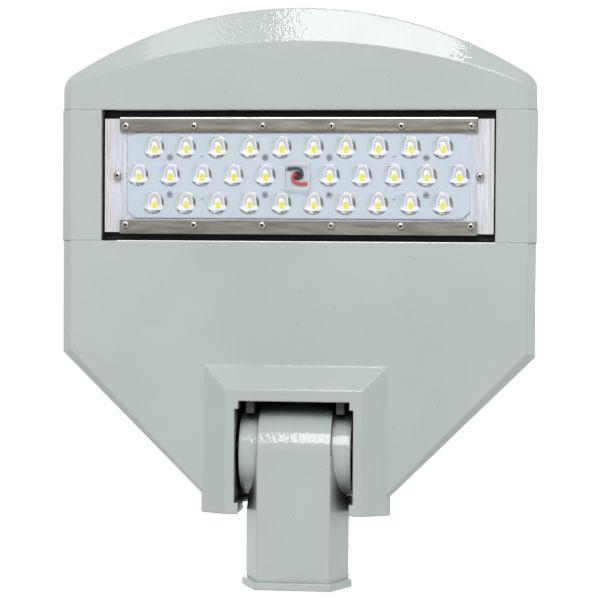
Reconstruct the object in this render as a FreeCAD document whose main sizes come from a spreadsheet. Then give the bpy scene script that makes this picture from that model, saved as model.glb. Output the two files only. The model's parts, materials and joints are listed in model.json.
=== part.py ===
import FreeCAD, Part

import os
import re

import Sketcher
from FreeCAD import Vector

# Street light head with an adjustable pole socket.
# The origin is the centre of the pole socket's mouth. The lamp runs from there along -Y to its
# nose, its light leaves along -Z and the pole leaves along +Y. All sizes are in millimetres.

doc = FreeCAD.newDocument("street_light_head")
sheet = doc.addObject("Spreadsheet::Sheet", "Sizes")

SIZES = [
    # Body: distances along Y are counted from the socket's mouth towards the nose
    ("half_width", 162.2, "half width of nose and tail castings"),
    ("rail_step", 0.6, "side rails stand out by this"),
    ("rail_width", 27.4, "side rails from the opening to the castings' half width"),
    ("tail_seam", 236.7, "joint between tail housing and rails"),
    ("opening_length", 89.7, "length of the rails and of the opening"),
    ("under_drop", 27.0, "underside below the socket axis"),
    ("top_rise", 28.0, "top of nose and rails above the socket axis"),
    ("tail_top", 43.0, "top of the tail housing above the socket axis"),
    ("rise_reach", 208.0, "where the tail's top reaches its full height"),
    ("shoulder_height", 10.0, "side walls stand upright up to here"),
    ("shoulder_inset", 8.0, "inward lean of the shoulder up to top_rise"),
    ("bevel_depth", 5.0, "height of the bevel round the underside"),
    ("bevel_width", 5.6, "width of that bevel along the sides"),
    ("wall", 3.5, "casting wall"),
    # Nose
    ("nose_length", 69.2, "nose tip beyond the rails"),
    ("nose_flat_length", 46.7, "flat underside beyond the rails"),
    ("nose_top_length", 36.0, "flat top beyond the rails"),
    ("nose_radius", 292.0, "plan radius of the tip"),
    ("nose_flat_radius", 424.0, "plan radius of the underside's edge"),
    ("nose_top_radius", 500.0, "plan radius of the top's edge"),
    ("nose_corner", 14.0, "plan corner radius at the widest line"),
    ("nose_flat_corner", 8.0, "plan corner radius of underside and top"),
    # Tail housing
    ("corner_reach", 160.0, "where the sides turn in towards the neck"),
    ("neck_corner", 64.0, "where the slanted sides meet the neck"),
    ("neck_half_width", 65.2, "half width of the neck"),
    ("neck_bevel", 2.2, "width of the bevel at the neck"),
    ("neck_end", 51.3, "end of the neck"),
    ("roof", 6.5, "roof over the driver space"),
    ("bezel_drop", 9.0, "raised frame round the knuckle pocket"),
    ("bezel_reach", 152.4, "front edge of that frame"),
    ("bezel_slope", 16.2, "width of the frame's slanted faces"),
    ("bezel_rounding", 1.2, "rounded edges of that frame"),
    ("cheek", 6.0, "side walls of the knuckle pocket"),
    ("pocket_front_wall", 4.0, "wall between knuckle pocket and driver space"),
    ("lip_depth", 5.5, "narrow front part of the pocket"),
    ("foot", 7.6, "return at the end of each pocket wall"),
    ("lug_width", 5.6, "stop lugs in the pocket"),
    ("lug_depth", 8.9, "stop lugs stand out by this"),
    ("lug_height", 10.0, "stop lugs' height"),
    ("lug_inset", 28.2, "inner side of each lug from the middle"),
    ("lug_drop", 28.0, "lower side of the lugs below the socket axis"),
    # Knuckle and pole socket
    ("pole_radius", 30.5, "bore for a 60 mm pole end"),
    ("bore_depth", 56.0, "depth of the bore"),
    ("socket_wall", 5.0, "socket wall at the sides"),
    ("face_wall", 4.0, "socket wall below and above"),
    ("face_half_width", 25.1, "half width of the flat faces"),
    ("face_chamfer", 26.0, "height of the slanted corners"),
    ("collar_growth", 2.5, "collar stands out by this"),
    ("collar_length", 5.2, "length of the collar"),
    ("shoulder_reach", 53.0, "end of the socket's full width from the mouth"),
    ("shoulder_step", 1.2, "socket's sides beyond that stand in by this"),
    ("pivot_reach", 92.0, "knuckle axis from the mouth"),
    ("disc_radius", 30.5, "knuckle discs"),
    ("disc_half_span", 38.3, "outer faces of the discs from the middle"),
    ("cable_radius", 10.0, "cable way through the knuckle"),
    ("pocket_clearance", 2.0, "barrel to pocket front"),
    ("roof_clearance", 2.5, "socket to pocket roof"),
    ("mouth_clearance", 2.5, "socket side to pocket mouth"),
    ("washer_thickness", 2.2, "washer between disc and cheek"),
    ("washer_radius", 12.0, "outer radius of that washer"),
    ("turning_gap", 0.1, "play beside washers and bolt heads"),
    ("pivot_radius", 5.0, "pivot bolt"),
    ("pivot_fit", 0.05, "radial play of the pivot bolt in the cheek"),
    ("pivot_bite", 16.0, "depth of the bolt in the disc"),
    ("pivot_head_radius", 8.5, "head of the pivot bolt"),
    ("pivot_head_length", 6.0, "head of the pivot bolt"),
    ("set_screw_radius", 4.0, "set screws that clamp the pole"),
    ("set_screw_tip_gap", 0.2, "tip of the set screw short of the bore"),
    ("set_screw_length", 8.0, "set screws"),
    ("set_screw_first", 20.0, "first set screw from the mouth"),
    ("set_screw_pitch", 22.0, "between the set screws"),
    ("hex_radius", 2.3, "socket in the set screw"),
    ("hex_depth", 4.0, "depth of that socket"),
    # Tie bolts through the rails
    ("tie_inset", 15.9, "tie bolts from the castings' half width"),
    ("tie_low", -4.0, "lower tie bolts, height"),
    ("tie_high", 14.0, "upper tie bolts, height"),
    ("tie_radius", 3.0, "tie bolt"),
    ("tie_play", 0.3, "hole round the tie bolt"),
    ("tie_head_radius", 5.0, "tie bolt's head"),
    ("tie_head_length", 6.0, "tie bolt's head"),
    ("tie_head_room", 18.0, "free space behind the tie bolt's head seat"),
    ("tie_bite", 13.0, "depth in the nose"),
    ("boss_half", 7.0, "half height and half width of the nose bosses"),
    ("boss_length", 16.0, "length of the nose bosses"),
    # Heat sink
    ("rail_wall", 3.5, "wall of the rail extrusion"),
    ("groove_depth", 4.2, "groove in the rail"),
    ("groove_floor", -15.0, "height of the groove's lower face"),
    ("base_thickness", 5.0, "base plate of the heat sink"),
    ("slide_gap", 0.1, "base plate in its groove"),
    ("tongue", 3.8, "base plate in the groove, each side"),
    ("seam_gap", 0.3, "heat sink to the castings"),
    ("fin_count", 15, "fins"),
    ("fin_thickness", 1.8, "fins"),
    ("fin_height", 35.0, "fins above the base plate"),
    ("fin_margin", 0.6, "outer fin from the base plate's edge"),
    ("ridge", 0.8, "small ridges in the slots beside the module"),
    ("pedestal", 1.5, "raised face that carries the module"),
    # Light module
    ("tray_play", 1.3, "white module plate to the rails"),
    ("tray_half_length", 38.9, "white module plate"),
    ("tray_thickness", 4.5, "white module plate"),
    ("rib_width", 1.2, "ribs at the ends of the module plate"),
    ("rib_height", 0.8, "ribs at the ends of the module plate"),
    ("gasket_thickness", 0.8, "lens gasket"),
    ("gasket_margin", 0.4, "lens gasket outside the raised middle"),
    ("gasket_width", 1.8, "lens gasket"),
    ("lens_inset", 5.0, "lens flange from the ends of the module plate"),
    ("lens_half_length", 38.0, "lens flange"),
    ("lens_corner", 3.0, "lens flange corners"),
    ("flange_thickness", 2.2, "lens flange"),
    ("raised_inset", 8.7, "raised middle from the ends of the lens flange"),
    ("raised_half_length", 30.1, "raised middle of the lens"),
    ("raised_height", 2.2, "raised middle above the flange"),
    ("lens_wall", 2.0, "face of the raised middle"),
    ("board_inset", 2.4, "circuit board from the ends of the raised middle"),
    ("board_half_length", 28.9, "circuit board"),
    ("board_play", 0.3, "circuit board to lens"),
    ("board_thickness", 1.6, "circuit board"),
    ("board_corner", 5.0, "cut corners of the board"),
    ("led_inset", 7.6, "last lamps of the middle row from the ends of the board"),
    ("row_pitch", 19.0, "between rows"),
    ("led_size", 3.45, "lamp package"),
    ("led_height", 0.8, "lamp package"),
    ("phosphor_size", 2.0, "yellow patch on the package"),
    ("phosphor_height", 0.3, "yellow patch on the package"),
    ("dome_radius", 7.5, "lens domes at their foot"),
    ("dome_height", 5.0, "lens domes"),
    ("dome_shoulder", 3.2, "height of the steep lower part of the domes"),
    ("dome_shoulder_radius", 6.2, "lens domes at that height"),
    ("dome_top_radius", 3.2, "flat top of the domes"),
    ("window_half", 8.9, "cover over the lead terminals"),
    ("window_height", 1.4, "that cover above the lens"),
    ("strip_inset", 6.1, "clamp strips from the ends of the lens flange"),
    ("strip_width", 9.6, "clamp strips"),
    ("strip_thickness", 1.2, "clamp strips"),
    ("strip_leg", 1.0, "bent edge of the clamp strips"),
    ("strip_leg_depth", 5.0, "bent edge below the strip's face"),
    ("strip_gap", 0.1, "bent edge to the module plate"),
    ("strip_screw_end", 4.15, "last screws from the ends of the strips"),
    ("strip_screw_inset", 6.2, "screws from the strip's outer edge"),
    ("end_screw_inset", 4.3, "screws from the ends of the lens flange"),
    ("screw_radius", 1.5, "small screws"),
    ("screw_head_radius", 2.7, "small screws"),
    ("screw_head_height", 2.0, "small screws"),
    ("screw_bite", 4.0, "small screws in the module plate"),
    ("board_screw_rise", 12.7, "board screws from the middle row"),
    ("board_head_radius", 2.2, "heads of the board screws"),
    ("board_head_height", 1.1, "heads of the board screws"),
    ("lead_radius", 1.0, "leads"),
    ("lead_hole_radius", 3.2, "hole for the leads"),
    ("lead_spread", 1.3, "leads from the hole's middle"),
    ("pad_x", 6.4, "solder pads from the hole"),
    ("pad_y", 4.6, "solder pads from the hole"),
    ("pad_radius", 1.5, "solder pads"),
    ("pad_height", 0.5, "solder pads"),
    # Driver space
    ("cover_inset", 22.7, "cover edge from the sides"),
    ("cover_front_inset", 5.0, "cover edge behind the slope"),
    ("cover_back", 139.0, "back edge of the cover from the mouth"),
    ("cover_play", 0.3, "cover in its recess"),
    ("cover_thickness", 3.0, "cover"),
    ("cover_gasket", 1.0, "gasket under the cover"),
    ("ledge", 8.0, "ledge under the cover"),
    ("cover_screw_inset", 4.0, "cover screws from the recess edge"),
    ("cover_boss_half", 4.0, "half width of the bosses of the cover screws"),
    ("cover_boss_length", 14.0, "bosses of the cover screws"),
    ("cover_screw_radius", 2.0, "cover screws"),
    ("cover_screw_length", 12.0, "cover screws below their heads"),
    ("cover_head_radius", 3.8, "cover screws"),
    ("cover_head_height", 2.2, "cover screws"),
    ("driver_inset", 67.2, "half the driver's length short of the castings' half width"),
    ("driver_width", 60.0, "lamp driver"),
    ("driver_height", 32.0, "lamp driver"),
    ("driver_x", -25.0, "middle of the driver"),
    ("driver_reach", 176.0, "middle of the driver"),
    ("driver_tab", 14.0, "screw tabs of the driver"),
    ("driver_tab_thickness", 3.0, "screw tabs of the driver"),
    ("driver_edge", 2.0, "bevelled edges of the driver"),
    ("pillar_half", 5.0, "half width of the pillars under driver and terminals"),
    ("pillar_height", 3.5, "pillars under driver and terminals"),
    ("terminal_inset", 50.2, "middle of the terminal block from the castings' half width"),
    ("terminal_reach", 186.0, "middle of the terminal block"),
    ("terminal_length", 34.0, "terminal block"),
    ("terminal_width", 22.0, "terminal block"),
    ("terminal_height", 17.0, "terminal block"),
    ("terminal_pitch", 6.4, "between clamping holes"),
    ("terminal_hole_radius", 2.4, "clamping holes"),
    ("terminal_hole_depth", 6.0, "clamping holes"),
    ("terminal_screw_reach", 14.0, "fixing screws of the terminal block"),
    ("terminal_base", 5.0, "foot of the terminal block"),
    ("inner_screw_radius", 1.9, "screws inside the driver space"),
    ("inner_head_radius", 3.4, "screws inside the driver space"),
    ("inner_head_height", 2.2, "screws inside the driver space"),
    ("grommet_radius", 8.0, "cable grommet in its wall"),
    ("grommet_flange", 3.0, "flange beyond the hole"),
    ("grommet_flange_thickness", 2.5, "flange of the grommets"),
    ("grommet_bore", 4.5, "hole in the cable grommet"),
    ("lead_grommet_radius", 5.0, "lead grommet in its wall"),
    ("lead_grommet_bore", 3.0, "hole in the lead grommet"),
    ("lead_grommet_height", -1.5, "lead grommet above the socket axis"),
]

for row, (alias, size, note) in enumerate(SIZES, start=1):
    sheet.set(f"A{row}", alias)
    sheet.set(f"B{row}", str(size))
    sheet.setAlias(f"B{row}", alias)
    sheet.set(f"C{row}", note)
doc.recompute()

ALIASES = {alias for alias, size, note in SIZES}

# Lines and heights that several pieces share, as formulas on the sheet
OPENING = "(half_width - rail_width)"
NOSE_SEAM = "(tail_seam + opening_length)"
MODULE_MIDDLE = "(tail_seam + opening_length / 2)"
SHOULDER_SLOPE = "(shoulder_inset / (top_rise - shoulder_height))"
SIDE_RUN = "(corner_reach - neck_corner)"
SIDE_STEP = "(half_width - neck_half_width)"
SIDE_LENGTH = f"sqrt({SIDE_RUN}^2 + {SIDE_STEP}^2)"
SPIGOT_HALF_WIDTH = "(pole_radius + socket_wall)"
BARREL_RADIUS = "(pole_radius + face_wall)"
POCKET_FRONT = f"(pivot_reach + {BARREL_RADIUS} + pocket_clearance)"
POCKET_HALF_WIDTH = "(disc_half_span + washer_thickness + turning_gap)"
POCKET_ROOF = f"({BARREL_RADIUS} + roof_clearance)"
MOUTH_HALF_WIDTH = f"({SPIGOT_HALF_WIDTH} + mouth_clearance)"
CHEEK_FACE = f"({POCKET_HALF_WIDTH} + cheek)"
FLOOR = "(-under_drop + wall)"
TIE_X = "(half_width - tie_inset)"
TRAY_HALF_WIDTH = f"({OPENING} - tray_play)"
LENS_HALF_WIDTH = f"({TRAY_HALF_WIDTH} - lens_inset)"
RAISED_HALF_WIDTH = f"({LENS_HALF_WIDTH} - raised_inset)"
BOARD_HALF_WIDTH = f"({RAISED_HALF_WIDTH} - board_inset)"
LED_PITCH = f"(({BOARD_HALF_WIDTH} - led_inset) / 5)"
STRIP_HALF_WIDTH = f"({LENS_HALF_WIDTH} - strip_inset)"
STRIP_SCREW_PITCH = f"(({STRIP_HALF_WIDTH} - strip_screw_end) / 2.5)"
TERMINAL_X = "(half_width - terminal_inset)"
DRIVER_LENGTH = "(2 * (half_width - driver_inset))"
LEDGE_HEIGHT = "(tail_top - cover_thickness - cover_gasket)"
BASE_UNDER = "groove_floor"
PEDESTAL_FACE = f"({BASE_UNDER} - pedestal)"
TRAY_FACE = f"({PEDESTAL_FACE} - tray_thickness)"
FLANGE_BACK = f"({TRAY_FACE} - gasket_thickness)"
FLANGE_FACE = f"({FLANGE_BACK} - flange_thickness)"
STRIP_FACE = f"({FLANGE_FACE} - strip_thickness)"
LENS_FACE = f"({FLANGE_FACE} - raised_height)"
BOARD_FACE = f"({TRAY_FACE} - board_thickness)"
STRIP_EDGE = "(tray_half_length + strip_gap + strip_leg)"


# Formulas and sketches

def linked(formula):
    """The formula with each size's name pointing at its cell."""
    def point(word):
        return f"Sizes.{word.group()}" if word.group() in ALIASES else word.group()
    return re.sub(r"[a-z_][a-z0-9_]*", point, formula)


def number(formula):
    return float(sheet.evalExpression(formula))


def bind(thing, prop, formula):
    thing.setExpression(prop, linked(formula))


def new_body(label):
    body = doc.addObject("PartDesign::Body", label)
    body.Label = label
    return body


def origin_part(body, role):
    return next(part for part in body.Origin.OriginFeatures if part.Role == role)


def new_sketch(body, plane, height="0"):
    """A sketch parallel to an origin plane. XZ sketches are offset towards the nose."""
    sketch = body.newObject("Sketcher::SketchObject", "Profile")
    sketch.AttachmentSupport = (origin_part(body, f"{plane}_Plane"), [""])
    sketch.MapMode = "FlatFace"
    bind(sketch, "AttachmentOffset.Base.z", height)
    return sketch


def hold(sketch, relations, sizes):
    """Adds plain relations, then the sized ones, each a constraint and its formula."""
    sketch.addConstraint(relations)
    for constraint, formula in sizes:
        index = sketch.addConstraint(constraint)
        bind(sketch, f"Constraints[{index}]", formula)


def place(edge, end, x, y):
    """The two sized constraints that put a point at x, y."""
    return [
        (Sketcher.Constraint("DistanceX", -1, 1, edge, end, number(x)), x),
        (Sketcher.Constraint("DistanceY", -1, 1, edge, end, number(y)), y),
    ]


def outline(sketch, corners):
    """A closed outline of straight lines through the corners."""
    points = [Vector(number(x), number(y), 0) for x, y in corners]
    first = sketch.GeometryCount
    count = len(corners)
    lines = [Part.LineSegment(points[i], points[(i + 1) % count]) for i in range(count)]
    sketch.addGeometry(lines, False)
    joints = [
        Sketcher.Constraint("Coincident", first + (i - 1) % count, 2, first + i, 1)
        for i in range(count)
    ]
    sizes = []
    for i, (x, y) in enumerate(corners):
        sizes += place(first + i, 1, x, y)
    hold(sketch, joints, sizes)


def rectangle(sketch, left, right, low, high):
    outline(sketch, [(left, low), (right, low), (right, high), (left, high)])


def square(sketch, x, y, half):
    rectangle(sketch, f"{x} - {half}", f"{x} + {half}", f"{y} - {half}", f"{y} + {half}")


def mirrored(corners):
    """Corners on the +X side from front to back, closed on the -X side."""
    return corners + [(f"-({x})", y) for x, y in reversed(corners)]


def circle(sketch, x, y, radius):
    centre = Vector(number(x), number(y), 0)
    edge = sketch.addGeometry(Part.Circle(centre, Vector(0, 0, 1), number(radius)), False)
    sizes = place(edge, 3, x, y)
    sizes.append((Sketcher.Constraint("Radius", edge, number(radius)), radius))
    hold(sketch, [], sizes)


# Features

def pad(body, sketch, length, backwards=False, taper=None):
    feature = body.newObject("PartDesign::Pad", "Pad")
    feature.Profile = (sketch, [""])
    feature.Reversed = backwards
    bind(feature, "Length", length)
    if taper:
        bind(feature, "TaperAngle", taper)
    return feature


def cut(body, sketch, length, along=True):
    """Cuts from the sketch along its normal, or against it."""
    feature = body.newObject("PartDesign::Pocket", "Cut")
    feature.Profile = (sketch, [""])
    feature.Reversed = along
    bind(feature, "Length", length)
    return feature


def loft(body, sections, cutting=False):
    kind = "PartDesign::SubtractiveLoft" if cutting else "PartDesign::AdditiveLoft"
    feature = body.newObject(kind, "Loft")
    feature.Profile = (sections[0], [""])
    feature.Sections = [(section, [""]) for section in sections[1:]]
    feature.Ruled = True
    return feature


def round_edges(body, feature, radius, wanted):
    """Rounds the feature's straight edges whose two end points pass the test."""
    doc.recompute()
    names = []
    for index, edge in enumerate(feature.Shape.Edges, start=1):
        ends = [vertex.Point for vertex in edge.Vertexes]
        if len(ends) == 2 and wanted(*ends):
            names.append(f"Edge{index}")
    rounded = body.newObject("PartDesign::Fillet", "Rounded")
    rounded.Base = (feature, names)
    bind(rounded, "Radius", radius)
    return rounded


def repeat(body, features, axis, spacing, count):
    """The features repeated along an origin axis."""
    pattern = body.newObject("PartDesign::LinearPattern", "Row")
    pattern.Originals = features
    pattern.Direction = (origin_part(body, f"{axis}_Axis"), [""])
    bind(pattern, "Length", f"({spacing}) * ({count} - 1)")
    bind(pattern, "Occurrences", count)
    body.Tip = pattern
    return pattern


def mirror(body, features, plane):
    pattern = body.newObject("PartDesign::Mirrored", "Mirror")
    pattern.Originals = features
    pattern.MirrorPlane = (origin_part(body, f"{plane}_Plane"), [""])
    body.Tip = pattern
    return pattern


def screws(label, places, plane, seat, head, shank, up):
    """Screws in one piece group. Head and shank are (radius, length); up is the way heads face."""
    body = new_body(label)
    for radius, length, backwards in ((*head, not up), (*shank, up)):
        sketch = new_sketch(body, plane, seat)
        for x, y in places:
            circle(sketch, x, y, radius)
        pad(body, sketch, length, backwards)
    return body


# Side rails, extrusions with a groove for the heat sink

def rail(label, side):
    body = new_body(label)

    def section(corners):
        sketch = new_sketch(body, "XZ", "tail_seam")
        outline(sketch, [(f"{side} * ({x})", z) for x, z in corners])
        return sketch

    outer = "(half_width + rail_step)"
    pad(body, section([
        (OPENING, "-under_drop"),
        (f"{outer} - bevel_width", "-under_drop"),
        (outer, "-under_drop + bevel_depth"),
        (outer, "shoulder_height"),
        (f"{outer} - shoulder_inset", "top_rise"),
        (OPENING, "top_rise"),
        (OPENING, "groove_floor + base_thickness + slide_gap"),
        (f"{OPENING} + groove_depth", "groove_floor + base_thickness + slide_gap"),
        (f"{OPENING} + groove_depth", "groove_floor"),
        (OPENING, "groove_floor"),
    ]), "opening_length")
    inner = f"({OPENING} + groove_depth + rail_wall)"
    step = "groove_floor + base_thickness + slide_gap + rail_wall"
    cut(body, section([
        (inner, "-under_drop + rail_wall"),
        (f"{outer} - bevel_width - rail_wall", "-under_drop + rail_wall"),
        (f"{outer} - rail_wall", "-under_drop + bevel_depth + rail_wall / 2"),
        (f"{outer} - rail_wall", "shoulder_height - rail_wall / 2"),
        (f"{outer} - shoulder_inset - rail_wall", "top_rise - rail_wall"),
        (f"{OPENING} + rail_wall", "top_rise - rail_wall"),
        (f"{OPENING} + rail_wall", step),
        (inner, step),
    ]), "opening_length")
    return body


# Nose cap

def nose_section(body, height, half_width, length, radius, corner):
    """Plan outline of the nose: straight sides, round corners and one wide arc."""
    sketch = new_sketch(body, "XY", height)
    seam = f"-{NOSE_SEAM}"
    tip = f"(-{NOSE_SEAM} - ({length}))"
    half, reach, bend, turn = (number(v) for v in (half_width, tip, radius, corner))
    centre_y = reach + bend
    corner_x = half - turn
    corner_y = centre_y - ((bend - turn) ** 2 - corner_x ** 2) ** 0.5
    away = Vector(corner_x, corner_y - centre_y, 0).normalize()
    touch = Vector(0, centre_y, 0) + away * bend
    middle = (away + Vector(1, 0, 0)).normalize() * turn + Vector(corner_x, corner_y, 0)

    def across(point):
        return Vector(-point.x, point.y, 0)

    back = Vector(half, number(seam), 0)
    side = Vector(half, corner_y, 0)
    sketch.addGeometry([
        Part.LineSegment(across(back), back),
        Part.LineSegment(back, side),
        Part.Arc(side, middle, touch),
        Part.Arc(touch, Vector(0, reach, 0), across(touch)),
        Part.Arc(across(touch), across(middle), across(side)),
        Part.LineSegment(across(side), across(back)),
    ], False)
    # Arcs run anticlockwise inside a sketch, so their ends are found by place
    ends = []
    for index, geometry in enumerate(sketch.Geometry):
        first = sketch.getPoint(index, 1)
        follows = [across(back), back, side, touch, across(touch), across(side)][index]
        ends.append((1, 2) if first.distanceToPoint(follows) < 1e-6 else (2, 1))
    relations = [
        Sketcher.Constraint("Horizontal", 0),
        Sketcher.Constraint("Vertical", 1),
        Sketcher.Constraint("Vertical", 5),
        Sketcher.Constraint("Coincident", 0, ends[0][1], 1, ends[1][0]),
        Sketcher.Constraint("Coincident", 5, ends[5][1], 0, ends[0][0]),
        Sketcher.Constraint("PointOnObject", 3, 3, -2),
    ]
    for index in (1, 2, 3, 4):
        relations.append(
            Sketcher.Constraint("Tangent", index, ends[index][1], index + 1, ends[index + 1][0]))
    hold(sketch, relations, [
        (Sketcher.Constraint("DistanceY", -1, 1, 0, 1, number(seam)), seam),
        (Sketcher.Constraint("DistanceX", -1, 1, 1, 1, half), half_width),
        (Sketcher.Constraint("DistanceX", -1, 1, 5, 1, -half), f"-({half_width})"),
        (Sketcher.Constraint("Radius", 2, turn), corner),
        (Sketcher.Constraint("Radius", 3, bend), radius),
        (Sketcher.Constraint("Radius", 4, turn), corner),
        (Sketcher.Constraint("DistanceY", -1, 1, 3, 3, centre_y), f"{tip} + ({radius})"),
    ])
    return sketch


def nose_cap():
    body = new_body("nose_cap")
    # Heights, half widths, lengths, radii and corners of the shell's four sections, and how
    # far the hollow's section lies above or below each
    shell = [
        ("-under_drop", "half_width - bevel_width", "nose_flat_length",
         "nose_flat_radius", "nose_flat_corner", "wall"),
        ("-under_drop + bevel_depth", "half_width", "nose_length",
         "nose_radius", "nose_corner", "wall"),
        ("shoulder_height", "half_width", "nose_length",
         "nose_radius", "nose_corner", "-wall"),
        ("top_rise", "half_width - shoulder_inset", "nose_top_length",
         "nose_top_radius", "nose_flat_corner", "-wall"),
    ]
    hollow = [
        (f"{height} + {shift}", f"{half} - wall", f"{length} - wall",
         f"{radius} - wall", f"{corner} - wall")
        for height, half, length, radius, corner, shift in shell
    ]
    upright = f"shoulder_height - (-under_drop + bevel_depth)"
    middle = nose_section(body, *shell[1][:5])
    pad(body, middle, upright)
    loft(body, [nose_section(body, *row[:5]) for row in shell[:2]])
    loft(body, [nose_section(body, *row[:5]) for row in shell[2:]])
    cut(body, nose_section(body, *hollow[1]), f"{upright} - 2 * wall")
    loft(body, [nose_section(body, *row) for row in hollow[:2]], cutting=True)
    loft(body, [nose_section(body, *row) for row in hollow[2:]], cutting=True)
    # Bosses for the tie bolts, one block at each side
    for side in (-1, 1):
        block = new_sketch(body, "XZ", NOSE_SEAM)
        wall_face = "half_width - wall / 2"
        outline(block, [(f"{side} * ({x})", z) for x, z in [
            (f"{TIE_X} - boss_half", "tie_low - boss_half"),
            (wall_face, "tie_low - boss_half"),
            (wall_face, "shoulder_height"),
            (f"{wall_face} - {SHOULDER_SLOPE} * (tie_high + boss_half - shoulder_height)",
             "tie_high + boss_half"),
            (f"{TIE_X} - boss_half", "tie_high + boss_half"),
        ]])
        pad(body, block, "boss_length")
    holes = new_sketch(body, "XZ", NOSE_SEAM)
    for side in (-1, 1):
        for height in ("tie_low", "tie_high"):
            circle(holes, f"{side} * {TIE_X}", height, "tie_radius")
    cut(body, holes, "tie_bite")
    return body


# Tail housing

def side_shift(inset):
    """How far a corner of the slanted side moves forward when the outline shrinks by inset."""
    return f"(({inset}) * ({SIDE_LENGTH} - {SIDE_RUN}) / {SIDE_STEP})"


def tail_section(body, height, inset, neck_inset):
    sketch = new_sketch(body, "XY", height)
    outline(sketch, mirrored([
        (f"half_width - {inset}", "-tail_seam"),
        (f"half_width - {inset}", f"-corner_reach - {side_shift(inset)}"),
        (f"neck_half_width - {neck_inset}", f"-neck_corner - {side_shift(neck_inset)}"),
        (f"neck_half_width - {neck_inset}", "-neck_end"),
    ]))
    return sketch


def space_section(body, height, inset, front):
    """Plan outline of the driver space, with a wing at each side of the knuckle pocket."""
    sketch = new_sketch(body, "XY", height)
    wing_end = f"-neck_corner - ({inset}) * {SIDE_LENGTH} / {SIDE_STEP}"
    outline(sketch, mirrored([
        (f"half_width - ({inset})", front),
        (f"half_width - ({inset})", f"-corner_reach - {side_shift(inset)}"),
        ("neck_half_width", wing_end),
        (CHEEK_FACE, wing_end),
        (CHEEK_FACE, f"-{POCKET_FRONT} - pocket_front_wall"),
    ]))
    return sketch


def cover_outline(sketch, play):
    """Outline of the cover, smaller all round by play."""
    inset = f"(cover_inset + {play})"
    back = f"(cover_back + {play})"
    front = f"-rise_reach + cover_front_inset + {play}"
    outline(sketch, mirrored([
        (f"half_width - {inset}", front),
        (f"half_width - {inset}", f"-corner_reach - {side_shift(inset)}"),
        (f"half_width - ({inset} * {SIDE_LENGTH} + {SIDE_STEP} * (corner_reach - {back}))"
         f" / {SIDE_RUN}", f"-{back}"),
    ]))


def cover_screw_places():
    inset = "(cover_inset + cover_screw_inset)"
    front = "-rise_reach + cover_front_inset + cover_screw_inset"
    back = "(cover_back + cover_screw_inset)"
    edge = (f"(half_width - ({inset} * {SIDE_LENGTH} + {SIDE_STEP} * (corner_reach - {back}))"
            f" / {SIDE_RUN})")
    right = [(f"half_width - {inset}", front), (edge, f"-{back}")]
    return right + [(f"-({x})", y) for x, y in right] + [("0", front), ("0", f"-{back}")]


def driver_screw_places():
    reach = f"({DRIVER_LENGTH} / 2 + driver_tab / 2)"
    return [(f"driver_x - {reach}", "-driver_reach"), (f"driver_x + {reach}", "-driver_reach")]


def terminal_screw_places():
    return [(f"{TERMINAL_X} - terminal_screw_reach", "-terminal_reach"),
            (f"{TERMINAL_X} + terminal_screw_reach", "-terminal_reach")]


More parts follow.
